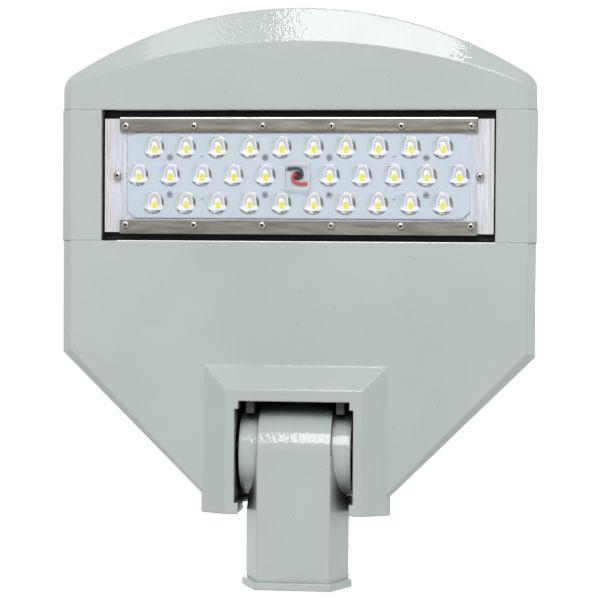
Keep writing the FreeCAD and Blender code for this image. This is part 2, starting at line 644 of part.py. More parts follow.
def tail_housing():
    body = new_body("tail_housing")
    top_inset = f"{SHOULDER_SLOPE} * (tail_top - shoulder_height)"
    loft(body, [
        tail_section(body, "-under_drop", "bevel_width", "neck_bevel"),
        tail_section(body, "-under_drop + bevel_depth", "0", "0"),
        tail_section(body, "shoulder_height", "0", "0"),
        tail_section(body, "tail_top", top_inset, top_inset),
    ])
    # Raised frame round the knuckle pocket
    frame = []
    for height, inset in (("-under_drop", "0"), ("-under_drop - bezel_drop", "bezel_slope")):
        section = new_sketch(body, "XY", height)
        side = f"neck_half_width - neck_bevel - {inset}"
        rectangle(section, f"-({side})", side, f"-bezel_reach + {inset}", "-neck_end")
        frame.append(section)
    bezel = loft(body, frame)
    face_height = number("-under_drop - bezel_drop")
    end_y = -number("neck_end")

    def on_frame(start, end):
        low = min(start.z, end.z) < face_height + 0.01
        return low and min(start.y, end.y) < end_y - 0.01
    round_edges(body, bezel, "bezel_rounding", on_frame)
    # Slope from the top of the rails up to the tail's top
    slope = new_sketch(body, "YZ", "-half_width")
    outline(slope, [
        ("-tail_seam", "top_rise"),
        ("-rise_reach", "tail_top"),
        ("-tail_seam", "tail_top"),
    ])
    cut(body, slope, "2 * half_width")
    # Driver space
    space_top = "tail_top - roof"
    loft(body, [
        space_section(body, FLOOR, "bevel_width + wall", "-tail_seam + wall"),
        space_section(body, f"{FLOOR} + bevel_depth", "wall", "-tail_seam + wall"),
        space_section(body, "shoulder_height - wall", "wall", "-tail_seam + wall"),
        space_section(body, space_top,
                      f"wall + {SHOULDER_SLOPE} * ({space_top} + wall - shoulder_height)",
                      "-rise_reach"),
    ], cutting=True)
    # Knuckle pocket, open below and at its end
    pocket = new_sketch(body, "XY", "-under_drop - bezel_drop")
    lip = f"-{POCKET_FRONT} + lip_depth"
    outline(pocket, mirrored([
        (MOUTH_HALF_WIDTH, f"-{POCKET_FRONT}"),
        (MOUTH_HALF_WIDTH, lip),
        (POCKET_HALF_WIDTH, lip),
        (POCKET_HALF_WIDTH, "-neck_end - foot"),
        (MOUTH_HALF_WIDTH, "-neck_end - foot"),
        (MOUTH_HALF_WIDTH, "-neck_end"),
    ]))
    cut(body, pocket, f"under_drop + bezel_drop + {POCKET_ROOF}")
    lugs = new_sketch(body, "XY", "-lug_drop")
    for near, far in (("lug_inset", "lug_inset + lug_width"),
                      ("-lug_inset - lug_width", "-lug_inset")):
        rectangle(lugs, near, far, f"-{POCKET_FRONT} - 1", f"-{POCKET_FRONT} + lug_depth")
    pad(body, lugs, "lug_height")
    # Recess and opening under the cover
    recess = new_sketch(body, "XY", LEDGE_HEIGHT)
    cover_outline(recess, "0")
    cut(body, recess, "tail_top - " + LEDGE_HEIGHT)
    opening = new_sketch(body, "XY", space_top)
    cover_outline(opening, "ledge")
    cut(body, opening, "roof")
    # Bosses and pillars for screws
    bosses = new_sketch(body, "XY", LEDGE_HEIGHT)
    for x, y in cover_screw_places():
        square(bosses, x, y, "cover_boss_half")
    pad(body, bosses, "cover_boss_length", backwards=True)
    boss_holes = new_sketch(body, "XY", LEDGE_HEIGHT)
    for x, y in cover_screw_places():
        circle(boss_holes, x, y, "cover_screw_radius")
    cut(body, boss_holes, "cover_screw_length - cover_thickness - cover_gasket", along=False)
    pillars = new_sketch(body, "XY", FLOOR)
    for x, y in driver_screw_places() + terminal_screw_places():
        square(pillars, x, y, "pillar_half")
    pad(body, pillars, "pillar_height")
    pillar_holes = new_sketch(body, "XY", FLOOR)
    for x, y in driver_screw_places() + terminal_screw_places():
        circle(pillar_holes, x, y, "inner_screw_radius")
    cut(body, pillar_holes, "pillar_height")
    # Holes for pivot bolts, tie bolts and grommets
    pivots = new_sketch(body, "YZ", f"-{CHEEK_FACE}")
    circle(pivots, "-pivot_reach", "0", "pivot_radius + pivot_fit")
    cut(body, pivots, f"2 * {CHEEK_FACE}")
    front_holes = new_sketch(body, "XZ", "tail_seam")
    for side in (-1, 1):
        for height in ("tie_low", "tie_high"):
            circle(front_holes, f"{side} * {TIE_X}", height, "tie_radius + tie_play")
    circle(front_holes, "0", "lead_grommet_height", "lead_grommet_radius")
    cut(body, front_holes, "2 * wall", along=False)
    # Room for the tie bolts' heads behind the sloping front
    head_rooms = new_sketch(body, "XZ", "tail_seam - wall")
    for side in (-1, 1):
        for height in ("tie_low", "tie_high"):
            circle(head_rooms, f"{side} * {TIE_X}", height, "tie_head_radius + tie_play")
    cut(body, head_rooms, "tie_head_room", along=False)
    cable_hole = new_sketch(body, "XZ", POCKET_FRONT)
    circle(cable_hole, "0", "0", "grommet_radius")
    cut(body, cable_hole, "pocket_front_wall")
    return body


def cover_gasket():
    body = new_body("cover_gasket")
    plan = new_sketch(body, "XY", LEDGE_HEIGHT)
    cover_outline(plan, "cover_play")
    cover_outline(plan, "ledge")
    for x, y in cover_screw_places():
        circle(plan, x, y, "cover_screw_radius")
    pad(body, plan, "cover_gasket")
    return body


def driver_cover():
    body = new_body("driver_cover")
    plan = new_sketch(body, "XY", "tail_top - cover_thickness")
    cover_outline(plan, "cover_play")
    for x, y in cover_screw_places():
        circle(plan, x, y, "cover_screw_radius")
    pad(body, plan, "cover_thickness")
    return body


# Heat sink, an extrusion along X between the rails

def heat_sink():
    body = new_body("heat_sink")
    front = f"(-{NOSE_SEAM} + seam_gap)"
    back = "(-tail_seam - seam_gap)"
    half_width = f"({OPENING} + tongue)"
    base = new_sketch(body, "YZ", f"-{half_width}")
    rectangle(base, front, back, BASE_UNDER, f"{BASE_UNDER} + base_thickness")
    pad(body, base, f"2 * {half_width}")
    fin = new_sketch(body, "YZ", f"-{OPENING} + seam_gap")
    foot = f"{BASE_UNDER} + base_thickness"
    rectangle(fin, f"{front} + fin_margin", f"{front} + fin_margin + fin_thickness",
              foot, f"{foot} + fin_height")
    fin_pad = pad(body, fin, f"2 * ({OPENING} - seam_gap)")
    span = "opening_length - 2 * seam_gap - 2 * fin_margin - fin_thickness"
    repeat(body, [fin_pad], "Y", f"({span}) / (fin_count - 1)", "fin_count")
    pedestal = new_sketch(body, "XY", BASE_UNDER)
    rectangle(pedestal, f"-{TRAY_HALF_WIDTH}", TRAY_HALF_WIDTH,
              f"-{MODULE_MIDDLE} - tray_half_length", f"-{MODULE_MIDDLE} + tray_half_length")
    pad(body, pedestal, "pedestal", backwards=True)
    ridges = new_sketch(body, "YZ", f"-{OPENING} + seam_gap")
    for side in (-1, 1):
        for place_in_slot in (0.35, 0.75):
            slot = "(opening_length / 2 - seam_gap - tray_half_length)"
            middle = f"-{MODULE_MIDDLE} + {side} * (tray_half_length + {place_in_slot} * {slot})"
            rectangle(ridges, f"{middle} - ridge / 2", f"{middle} + ridge / 2",
                      f"{BASE_UNDER} - ridge", BASE_UNDER)
    pad(body, ridges, f"2 * ({OPENING} - seam_gap)")
    hole = new_sketch(body, "XY", PEDESTAL_FACE)
    circle(hole, "0", f"-{MODULE_MIDDLE}", "lead_hole_radius")
    cut(body, hole, "pedestal + base_thickness")
    return body


# Light module

def strip_screw_places():
    side_y = f"({STRIP_EDGE} - strip_screw_inset)"
    return [(f"{step} * {STRIP_SCREW_PITCH}", f"-{MODULE_MIDDLE} + {side} * {side_y}")
            for side in (-1, 1) for step in (-2.5, -1.5, -0.5, 0.5, 1.5, 2.5)]


def end_screw_places():
    return [(f"{side} * ({LENS_HALF_WIDTH} - end_screw_inset)", f"-{MODULE_MIDDLE}")
            for side in (-1, 1)]


def board_screw_places():
    return [(f"{step} * {LED_PITCH}", f"-{MODULE_MIDDLE} + {side} * board_screw_rise")
            for side in (-1, 1) for step in (-4, -1, 1, 4)]


def screw_holes(body, height, depth):
    """Holes for the module's screws, cut upwards from a height."""
    sketch = new_sketch(body, "XY", height)
    for x, y in strip_screw_places() + end_screw_places():
        circle(sketch, x, y, "screw_radius")
    cut(body, sketch, depth)


def module_tray():
    body = new_body("module_tray")
    plate = new_sketch(body, "XY", TRAY_FACE)
    low = f"-{MODULE_MIDDLE} - tray_half_length"
    high = f"-{MODULE_MIDDLE} + tray_half_length"
    rectangle(plate, f"-{TRAY_HALF_WIDTH}", TRAY_HALF_WIDTH, low, high)
    circle(plate, "0", f"-{MODULE_MIDDLE}", "lead_hole_radius")
    pad(body, plate, "tray_thickness")
    ribs = new_sketch(body, "XY", TRAY_FACE)
    for side in (-1, 1):
        for edge in (TRAY_HALF_WIDTH, f"{LENS_HALF_WIDTH} + 2 * rib_width"):
            near, far = sorted((f"{side} * ({edge} - rib_width)", f"{side} * ({edge})"),
                               key=number)
            rectangle(ribs, near, far, low, high)
    pad(body, ribs, "rib_height", backwards=True)
    screw_holes(body, TRAY_FACE, "screw_bite")
    return body


def lens_gasket():
    """A ring inside the screws."""
    body = new_body("lens_gasket")
    ring = new_sketch(body, "XY", FLANGE_BACK)
    for margin in ("gasket_margin + gasket_width", "gasket_margin"):
        x = f"({RAISED_HALF_WIDTH} + {margin})"
        y = f"(raised_half_length + {margin})"
        rectangle(ring, f"-{x}", x, f"-{MODULE_MIDDLE} - {y}", f"-{MODULE_MIDDLE} + {y}")
    pad(body, ring, "gasket_thickness")
    return body


def lamp_middles():
    """Two rows of ten lamps, and between them ten more with a gap for the leads."""
    middle = f"-{MODULE_MIDDLE}"
    outer = [(f"{step + 0.5} * {LED_PITCH}", f"{middle} + {side} * row_pitch")
             for side in (-1, 1) for step in range(-5, 5)]
    inner = [(f"{step} * {LED_PITCH}", middle) for step in range(-5, 6) if step]
    return outer + inner


def lamp_places(body, height, draw):
    """Draws the first lamp of each run and gives the two sketches: outer rows, middle row."""
    outer = new_sketch(body, "XY", height)
    for side in (-1, 1):
        draw(outer, f"-4.5 * {LED_PITCH}", f"-{MODULE_MIDDLE} + {side} * row_pitch")
    middle = new_sketch(body, "XY", height)
    for start in ("-5", "1"):
        draw(middle, f"{start} * {LED_PITCH}", f"-{MODULE_MIDDLE}")
    return outer, middle


def lamp_rows(body, height, thickness, size):
    """Square plates at every lamp, standing down from a height."""
    def draw(sketch, x, y):
        rectangle(sketch, f"{x} - {size} / 2", f"{x} + {size} / 2",
                  f"{y} - {size} / 2", f"{y} + {size} / 2")
    outer, middle = lamp_places(body, height, draw)
    repeat(body, [pad(body, outer, thickness, backwards=True)], "X", LED_PITCH, "10")
    repeat(body, [pad(body, middle, thickness, backwards=True)], "X", LED_PITCH, "5")


def lens_plate():
    body = new_body("lens_plate")
    middle = f"-{MODULE_MIDDLE}"
    flange = new_sketch(body, "XY", FLANGE_FACE)
    rectangle(flange, f"-{LENS_HALF_WIDTH}", LENS_HALF_WIDTH,
              f"{middle} - lens_half_length", f"{middle} + lens_half_length")
    round_edges(body, pad(body, flange, "flange_thickness"), "lens_corner",
                lambda start, end: abs(start.z - end.z) > abs(start.x - end.x) + abs(start.y - end.y))
    raised = new_sketch(body, "XY", LENS_FACE)
    rectangle(raised, f"-{RAISED_HALF_WIDTH}", RAISED_HALF_WIDTH,
              f"{middle} - raised_half_length", f"{middle} + raised_half_length")
    pad(body, raised, "raised_height")
    window = new_sketch(body, "XY", LENS_FACE)
    rectangle(window, "-window_half", "window_half",
              f"{middle} - window_half", f"{middle} + window_half")
    pad(body, window, "window_height", backwards=True)

    for level, height, foot, top in (
            ("0", "dome_shoulder", "dome_radius", "dome_shoulder_radius"),
            ("dome_shoulder", "dome_height - dome_shoulder",
             "dome_shoulder_radius", "dome_top_radius")):
        rings = new_sketch(body, "XY", f"{LENS_FACE} - {level}")
        for x, y in lamp_middles():
            circle(rings, x, y, foot)
        pad(body, rings, height, backwards=True, taper=f"-atan(({foot} - {top}) / ({height}))")
    hollow = new_sketch(body, "XY", f"{LENS_FACE} + lens_wall")
    rectangle(hollow, f"-{BOARD_HALF_WIDTH} - board_play", f"{BOARD_HALF_WIDTH} + board_play",
              f"{middle} - board_half_length - board_play",
              f"{middle} + board_half_length + board_play")
    cut(body, hollow, "raised_height + flange_thickness - lens_wall")
    window_hollow = new_sketch(body, "XY", f"{LENS_FACE} - window_height + lens_wall / 2")
    inner = "(window_half - lens_wall / 2)"
    rectangle(window_hollow, f"-{inner}", inner, f"{middle} - {inner}", f"{middle} + {inner}")
    cut(body, window_hollow, "window_height + lens_wall / 2")
    screw_holes(body, FLANGE_FACE, "flange_thickness")
    return body


def clamp_strip(label, side):
    """A steel strip with its outer edge bent up beside the module plate."""
    body = new_body(label)
    section = new_sketch(body, "YZ", f"-{STRIP_HALF_WIDTH}")
    edge = STRIP_EDGE
    outline(section, [(f"-{MODULE_MIDDLE} + {side} * ({y})", z) for y, z in [
        (f"{edge} - strip_width", FLANGE_FACE),
        (f"{edge} - strip_width", STRIP_FACE),
        (edge, STRIP_FACE),
        (edge, f"{STRIP_FACE} + strip_leg_depth"),
        (f"{edge} - strip_leg", f"{STRIP_FACE} + strip_leg_depth"),
        (f"{edge} - strip_leg", FLANGE_FACE),
    ]])
    pad(body, section, f"2 * {STRIP_HALF_WIDTH}")
    holes = new_sketch(body, "XY", STRIP_FACE)
    first = 0 if side < 0 else 6
    for x, y in strip_screw_places()[first:first + 6]:
        circle(holes, x, y, "screw_radius")
    cut(body, holes, "strip_thickness")
    return body


def led_board():
    body = new_body("led_board")
    plan = new_sketch(body, "XY", BOARD_FACE)
    x, y, corner = BOARD_HALF_WIDTH, "board_half_length", "board_corner"
    middle = f"-{MODULE_MIDDLE}"
    outline(plan, mirrored([
        (f"{x} - {corner}", f"{middle} - {y}"),
        (x, f"{middle} - {y} + {corner}"),
        (x, f"{middle} + {y} - {corner}"),
        (f"{x} - {corner}", f"{middle} + {y}"),
    ]))
    circle(plan, "0", middle, "lead_hole_radius")
    pad(body, plan, "board_thickness")
    return body


def board_screws():
    """Low heads on the board."""
    body = new_body("board_screws")
    heads = new_sketch(body, "XY", BOARD_FACE)
    for x, y in board_screw_places():
        circle(heads, x, y, "board_head_radius")
    pad(body, heads, "board_head_height", backwards=True)
    return body


def led_packages():
    body = new_body("led_packages")
    lamp_rows(body, BOARD_FACE, "led_height", "led_size")
    return body


def led_phosphors():
    body = new_body("led_phosphors")
    lamp_rows(body, f"{BOARD_FACE} - led_height", "phosphor_height", "phosphor_size")
    return body


def solder_pads():
    body = new_body("solder_pads")
    plan = new_sketch(body, "XY", BOARD_FACE)
    for side in (-1, 1):
        circle(plan, f"{side} * pad_x", f"-{MODULE_MIDDLE} + {side} * pad_y", "pad_radius")
    pad(body, plan, "pad_height", backwards=True)
    return body


def lead(label, side):
    """A wire from its solder pad along the board and round a corner into the hole."""
    middle_y = -number(MODULE_MIDDLE)
    radius = number("lead_radius")
    level = number(f"{BOARD_FACE} - pad_height") - radius
    start = Vector(side * number("pad_x"), middle_y + side * number("pad_y"), level)
    corner = Vector(side * number("lead_spread"), middle_y, level)
    end = Vector(corner.x, corner.y, number(f"{BASE_UNDER} + base_thickness"))
    ring = Part.Wire([Part.makeCircle(radius, start, corner - start)])
    wire = doc.addObject("Part::Feature", label)
    wire.Label = label
    # The sweep has a mitred corner
    wire.Shape = Part.makePolygon([start, corner, end]).makePipeShell([ring], True, False, 1)
    return wire


def lead_seal():
    """Rubber plug round both leads in the heat sink's hole."""
    body = new_body("lead_seal")
    plan = new_sketch(body, "XY", PEDESTAL_FACE)
    middle = f"-{MODULE_MIDDLE}"
    circle(plan, "0", middle, "lead_hole_radius")
    for side in (-1, 1):
        circle(plan, f"{side} * lead_spread", middle, "lead_radius")
    pad(body, plan, "pedestal + base_thickness")
    return body


# Knuckle and pole socket

def socket_section(body, offset, growth="0", narrowing="0"):
    sketch = new_sketch(body, "XZ", offset)
    x = f"({SPIGOT_HALF_WIDTH} + {growth} - {narrowing})"
    z = f"({BARREL_RADIUS} + {growth})"
    face = f"(face_half_width + {growth} / 2)"
    outline(sketch, mirrored([
        (face, f"-{z}"),
        (x, f"-{z} + face_chamfer"),
        (x, f"{z} - face_chamfer"),
        (face, z),
    ]))
    return sketch


def spigot():
    body = new_body("spigot")
    pad(body, socket_section(body, "0"), "shoulder_reach")
    pad(body, socket_section(body, "0", "collar_growth"), "collar_length")
    inner = "(pivot_reach - disc_radius)"
    loft(body, [socket_section(body, "shoulder_reach"),
                socket_section(body, inner, narrowing="shoulder_step")])
    pad(body, socket_section(body, inner, narrowing="shoulder_step"), f"pivot_reach - {inner}")
    for half_span, radius in (("face_half_width", BARREL_RADIUS),
                              ("disc_half_span", "disc_radius")):
        barrel = new_sketch(body, "YZ", f"-{half_span}")
        circle(barrel, "-pivot_reach", "0", radius)
        pad(body, barrel, f"2 * {half_span}")
    for radius, depth in (("pole_radius", "bore_depth"),
                          ("cable_radius", f"pivot_reach + {BARREL_RADIUS}")):
        bore = new_sketch(body, "XZ")
        circle(bore, "0", "0", radius)
        cut(body, bore, depth)
    for side, along in (("-", True), ("", False)):
        seat = new_sketch(body, "YZ", f"{side}disc_half_span")
        circle(seat, "-pivot_reach", "0", "pivot_radius")
        cut(body, seat, "pivot_bite", along)
    clamps = new_sketch(body, "XY", BARREL_RADIUS)
    for step in ("0", "set_screw_pitch"):
        circle(clamps, "0", f"-set_screw_first - {step}", "set_screw_radius")
    cut(body, clamps, "face_wall + 1", along=False)
    return body


def set_screws():
    body = new_body("set_screws")
    tip = "pole_radius + set_screw_tip_gap"
    places = [("0", f"-set_screw_first - {step}") for step in ("0", "set_screw_pitch")]
    shank = new_sketch(body, "XY", tip)
    for x, y in places:
        circle(shank, x, y, "set_screw_radius")
    pad(body, shank, "set_screw_length")
    socket = new_sketch(body, "XY", f"{tip} + set_screw_length")
    for x, y in places:
        circle(socket, x, y, "hex_radius")
    cut(body, socket, "hex_depth", along=False)
    return body


def pivot_bolts():
    body = new_body("pivot_bolts")
    seat = f"{CHEEK_FACE} + turning_gap"
    shank = new_sketch(body, "YZ", seat)
    circle(shank, "-pivot_reach", "0", "pivot_radius")
    shank_pad = pad(body, shank, f"{seat} - disc_half_span + pivot_bite", backwards=True)
    head = new_sketch(body, "YZ", seat)
    circle(head, "-pivot_reach", "0", "pivot_head_radius")
    head_pad = pad(body, head, "pivot_head_length")
    mirror(body, [shank_pad, head_pad], "YZ")
    return body


def pivot_washers():
    body = new_body("pivot_washers")
    ring = new_sketch(body, "YZ", "disc_half_span")
    circle(ring, "-pivot_reach", "0", "washer_radius")
    circle(ring, "-pivot_reach", "0", "pivot_radius")
    mirror(body, [pad(body, ring, "washer_thickness")], "YZ")
    return body


# Tie bolts, driver and terminals

def tie_bolts():
    places = [(f"{side} * {TIE_X}", height)
              for side in (-1, 1) for height in ("tie_low", "tie_high")]
    return screws("tie_bolts", places, "XZ", "tail_seam - wall",
                  ("tie_head_radius", "tie_head_length"),
                  ("tie_radius", "opening_length + wall + tie_bite"), up=False)


def led_driver():
    body = new_body("led_driver")
    foot = f"{FLOOR} + pillar_height"
    case = new_sketch(body, "YZ", f"driver_x - {DRIVER_LENGTH} / 2")
    middle, half, edge = "-driver_reach", "driver_width / 2", "driver_edge"
    top = f"{foot} + driver_height"
    outline(case, [
        (f"{middle} - {half}", foot),
        (f"{middle} + {half}", foot),
        (f"{middle} + {half}", f"{top} - {edge}"),
        (f"{middle} + {half} - {edge}", top),
        (f"{middle} - {half} + {edge}", top),
        (f"{middle} - {half}", f"{top} - {edge}"),
    ])
    pad(body, case, DRIVER_LENGTH)
    tabs = new_sketch(body, "XY", foot)
    reach = f"{DRIVER_LENGTH} / 2 + driver_tab"
    rectangle(tabs, f"driver_x - ({reach})", f"driver_x + {reach}",
              f"{middle} - pillar_half - 2", f"{middle} + pillar_half + 2")
    pad(body, tabs, "driver_tab_thickness")
    holes = new_sketch(body, "XY", foot)
    for x, y in driver_screw_places():
        circle(holes, x, y, "inner_screw_radius")
    cut(body, holes, "driver_tab_thickness")
    return body


def terminal_block():
    body = new_body("terminal_block")
    foot = f"{FLOOR} + pillar_height"
    half = "terminal_length / 2"
    base = new_sketch(body, "XY", foot)
    reach = "terminal_screw_reach + pillar_half"
    rectangle(base, f"{TERMINAL_X} - {reach}", f"{TERMINAL_X} + {reach}",
              "-terminal_reach - terminal_width / 2", "-terminal_reach + terminal_width / 2")
    pad(body, base, "terminal_base")
    block = new_sketch(body, "XY", foot)
    side = "(terminal_screw_reach - inner_head_radius - 0.6)"
    rectangle(block, f"{TERMINAL_X} - {side}", f"{TERMINAL_X} + {side}",
              "-terminal_reach - terminal_width / 2", "-terminal_reach + terminal_width / 2")
    pad(body, block, "terminal_height")
    wells = new_sketch(body, "XY", f"{foot} + terminal_height")
    for step in (-1, 0, 1):
        circle(wells, TERMINAL_X, f"-terminal_reach + {step} * terminal_pitch",
               "terminal_hole_radius")
    cut(body, wells, "terminal_hole_depth", along=False)
    holes = new_sketch(body, "XY", foot)
    for x, y in terminal_screw_places():
        circle(holes, x, y, "inner_screw_radius")
    cut(body, holes, "terminal_base")
    return body


def cable_grommet():
    body = new_body("cable_grommet")
    for offset, radius, length in (
            (POCKET_FRONT, "grommet_radius", "pocket_front_wall"),
            (f"{POCKET_FRONT} + pocket_front_wall", "grommet_radius + grommet_flange",
             "grommet_flange_thickness")):
        ring = new_sketch(body, "XZ", offset)
        circle(ring, "0", "0", radius)
        circle(ring, "0", "0", "grommet_bore")
        pad(body, ring, length)
    return body


def lead_grommet():
    body = new_body("lead_grommet")
    for offset, radius, length in (
            ("tail_seam", "lead_grommet_radius", "wall"),
            ("tail_seam - wall", "lead_grommet_radius + grommet_flange",
             "grommet_flange_thickness")):
        ring = new_sketch(body, "XZ", offset)
        circle(ring, "0", "lead_grommet_height", radius)
        circle(ring, "0", "lead_grommet_height", "lead_grommet_bore")
        pad(body, ring, length, backwards=True)
    return body


SMALL_HEAD = ("screw_head_radius", "screw_head_height")
INNER_HEAD = ("inner_head_radius", "inner_head_height")

pieces = [
    nose_cap(),
    rail("rail_left", -1),
    rail("rail_right", 1),
    tie_bolts(),
    tail_housing(),
    cover_gasket(),
    driver_cover(),
    screws("cover_screws", cover_screw_places(), "XY", "tail_top",
           ("cover_head_radius", "cover_head_height"),
           ("cover_screw_radius", "cover_screw_length"), up=True),
    heat_sink(),
    module_tray(),
    lens_gasket(),
    lens_plate(),
    clamp_strip("clamp_strip_nose_side", -1),
    clamp_strip("clamp_strip_tail_side", 1),
    screws("strip_screws", strip_screw_places(), "XY", STRIP_FACE, SMALL_HEAD,
           ("screw_radius", f"{TRAY_FACE} - {STRIP_FACE} + screw_bite"), up=False),
    screws("lens_end_screws", end_screw_places(), "XY", FLANGE_FACE, SMALL_HEAD,
           ("screw_radius", f"{TRAY_FACE} - {FLANGE_FACE} + screw_bite"), up=False),
    led_board(),
    board_screws(),
    led_packages(),
    led_phosphors(),
    solder_pads(),
    lead("lead_black", -1),
    lead("lead_red", 1),
    lead_seal(),
    spigot(),
    set_screws(),
    pivot_bolts(),
    pivot_washers(),
    led_driver(),
    screws("driver_screws", driver_screw_places(), "XY",
           f"{FLOOR} + pillar_height + driver_tab_thickness", INNER_HEAD,
           ("inner_screw_radius", "pillar_height + driver_tab_thickness"), up=True),
    terminal_block(),
    screws("terminal_screws", terminal_screw_places(), "XY",
           f"{FLOOR} + pillar_height + terminal_base", INNER_HEAD,
           ("inner_screw_radius", "pillar_height + terminal_base"), up=True),
    cable_grommet(),
    lead_grommet(),
]

doc.recompute()

for item in doc.Objects:
    if {"Invalid", "Error"} & set(item.State):
        raise RuntimeError(f"{item.Label} could not be built: {item.State}")

for piece in pieces:
    if piece.Shape.isNull() or not piece.Shape.isValid() or not piece.Shape.Solids:
        raise RuntimeError(f"{piece.Label} has no valid solid")

os.makedirs("parts", exist_ok=True)
for piece in pieces:
    piece.Shape.exportStep(f"parts/{piece.Label}.step")
    box = piece.Shape.BoundBox
    print(f"{piece.Label}: {len(piece.Shape.Solids)} solids, {piece.Shape.Volume:.0f} mm3, "
          f"x {box.XMin:.1f} {box.XMax:.1f}, y {box.YMin:.1f} {box.YMax:.1f}, "
          f"z {box.ZMin:.1f} {box.ZMax:.1f}")
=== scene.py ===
import json
import math

import bmesh
import bpy
from mathutils import Matrix, Vector


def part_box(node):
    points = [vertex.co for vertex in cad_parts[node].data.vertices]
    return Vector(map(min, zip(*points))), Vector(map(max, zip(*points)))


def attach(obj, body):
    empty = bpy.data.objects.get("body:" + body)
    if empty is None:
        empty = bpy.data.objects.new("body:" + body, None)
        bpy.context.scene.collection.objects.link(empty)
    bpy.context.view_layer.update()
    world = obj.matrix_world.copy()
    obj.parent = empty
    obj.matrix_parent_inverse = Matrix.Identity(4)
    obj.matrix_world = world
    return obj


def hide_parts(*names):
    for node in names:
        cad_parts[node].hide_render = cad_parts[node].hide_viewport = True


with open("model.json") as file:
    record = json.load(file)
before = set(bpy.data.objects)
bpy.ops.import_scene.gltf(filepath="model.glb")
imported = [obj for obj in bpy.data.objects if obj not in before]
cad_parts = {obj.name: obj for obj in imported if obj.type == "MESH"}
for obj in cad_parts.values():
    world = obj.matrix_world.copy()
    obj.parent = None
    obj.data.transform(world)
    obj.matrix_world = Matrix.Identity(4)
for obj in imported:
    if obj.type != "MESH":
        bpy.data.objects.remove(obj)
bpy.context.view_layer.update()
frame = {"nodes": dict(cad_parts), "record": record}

MM = 0.001
HEAD = "lamp_head"


# Shader helpers; material stands for anything with a node tree, the world too

def new_material(name):
    """A material with its Principled node and its output node."""
    material = bpy.data.materials.new(name)
    material.use_nodes = True
    nodes = material.node_tree.nodes
    return material, nodes["Principled BSDF"], nodes["Material Output"]


def node(material, kind, inputs=None, **settings):
    """A new node; inputs maps a socket to a value or to the socket that feeds it."""
    made = material.node_tree.nodes.new(kind)
    for key, value in settings.items():
        setattr(made, key, value)
    for key, value in (inputs or {}).items():
        if isinstance(value, bpy.types.NodeSocket):
            connect(material, value, made.inputs[key])
        else:
            made.inputs[key].default_value = value
    return made


def connect(material, out, into):
    material.node_tree.links.new(out, into)


def grey(value):
    return (value, value, value, 1.0)


def shaded(colour, share):
    """A colour with only a share of its brightness."""
    return tuple(channel * share for channel in colour[:3]) + (1.0,)


def object_place(material):
    return node(material, "ShaderNodeTexCoord").outputs["Object"]


def noise(material, scale, stretch=(1, 1, 1), detail=2.0):
    """Noise in the object's own coordinates, finer along the axes with a larger stretch."""
    mapped = node(material, "ShaderNodeMapping",
                  {"Vector": object_place(material), "Scale": stretch})
    made = node(material, "ShaderNodeTexNoise",
                {"Vector": mapped.outputs[0], "Scale": scale, "Detail": detail})
    return made.outputs["Fac"]


def grain_along(axis, stretch):
    """Stretch of a noise whose streaks run along an axis."""
    return [1.0 if other == axis else stretch for other in "XYZ"]


def ramp(material, value, start, first, end, second):
    """A colour ramp from the first colour at start to the second at end."""
    made = node(material, "ShaderNodeValToRGB", {"Fac": value})
    stops = ((start, first), (end, second))
    for element, (place, colour) in zip(made.color_ramp.elements, stops):
        element.position = place
        element.color = colour
    return made.outputs["Color"]


def mix_colour(material, share, first, second, blend="MIX"):
    """Two colours mixed; a Mix node has its colour sockets at these places."""
    factor, colour_a, colour_b, result = 0, 6, 7, 2
    made = node(material, "ShaderNodeMix",
                {factor: share, colour_a: first, colour_b: second},
                data_type="RGBA", blend_type=blend)
    return made.outputs[result]


def maths(material, operation, *values):
    """The result of a Math node."""
    return node(material, "ShaderNodeMath", dict(enumerate(values)),
                operation=operation).outputs[0]


def rounded_edges(material, radius):
    """Normals that run round the edges of hard solids."""
    return node(material, "ShaderNodeBevel", {"Radius": radius}, samples=6).outputs["Normal"]


def bump(material, height, strength, distance, onto=None):
    inputs = {"Height": height, "Strength": strength, "Distance": distance}
    if onto is not None:
        inputs["Normal"] = onto
    return node(material, "ShaderNodeBump", inputs).outputs["Normal"]


# Materials

def inside_box(material, middle, half):
    """One inside a box in the object's own coordinates and its mirror image across X."""
    apart = node(material, "ShaderNodeSeparateXYZ", {"Vector": object_place(material)})
    across = maths(material, "ABSOLUTE", apart.outputs["X"])
    sides = [maths(material, "COMPARE", value, centre, reach) for value, centre, reach
             in zip((across, apart.outputs["Y"], apart.outputs["Z"]), middle, half)]
    return maths(material, "MULTIPLY", maths(material, "MULTIPLY", sides[0], sides[1]), sides[2])


DUST = (0.34, 0.35, 0.33, 1)
# Painted shade: the dark colour given to the stop lugs' box
LUG_SHADE_COLOUR = (0.055, 0.05, 0.045, 1)
# How far the painted shade of hollows reaches
HOLLOW_SHADE_REACH = 18 * MM
CASTING_EDGE = 1.7 * MM


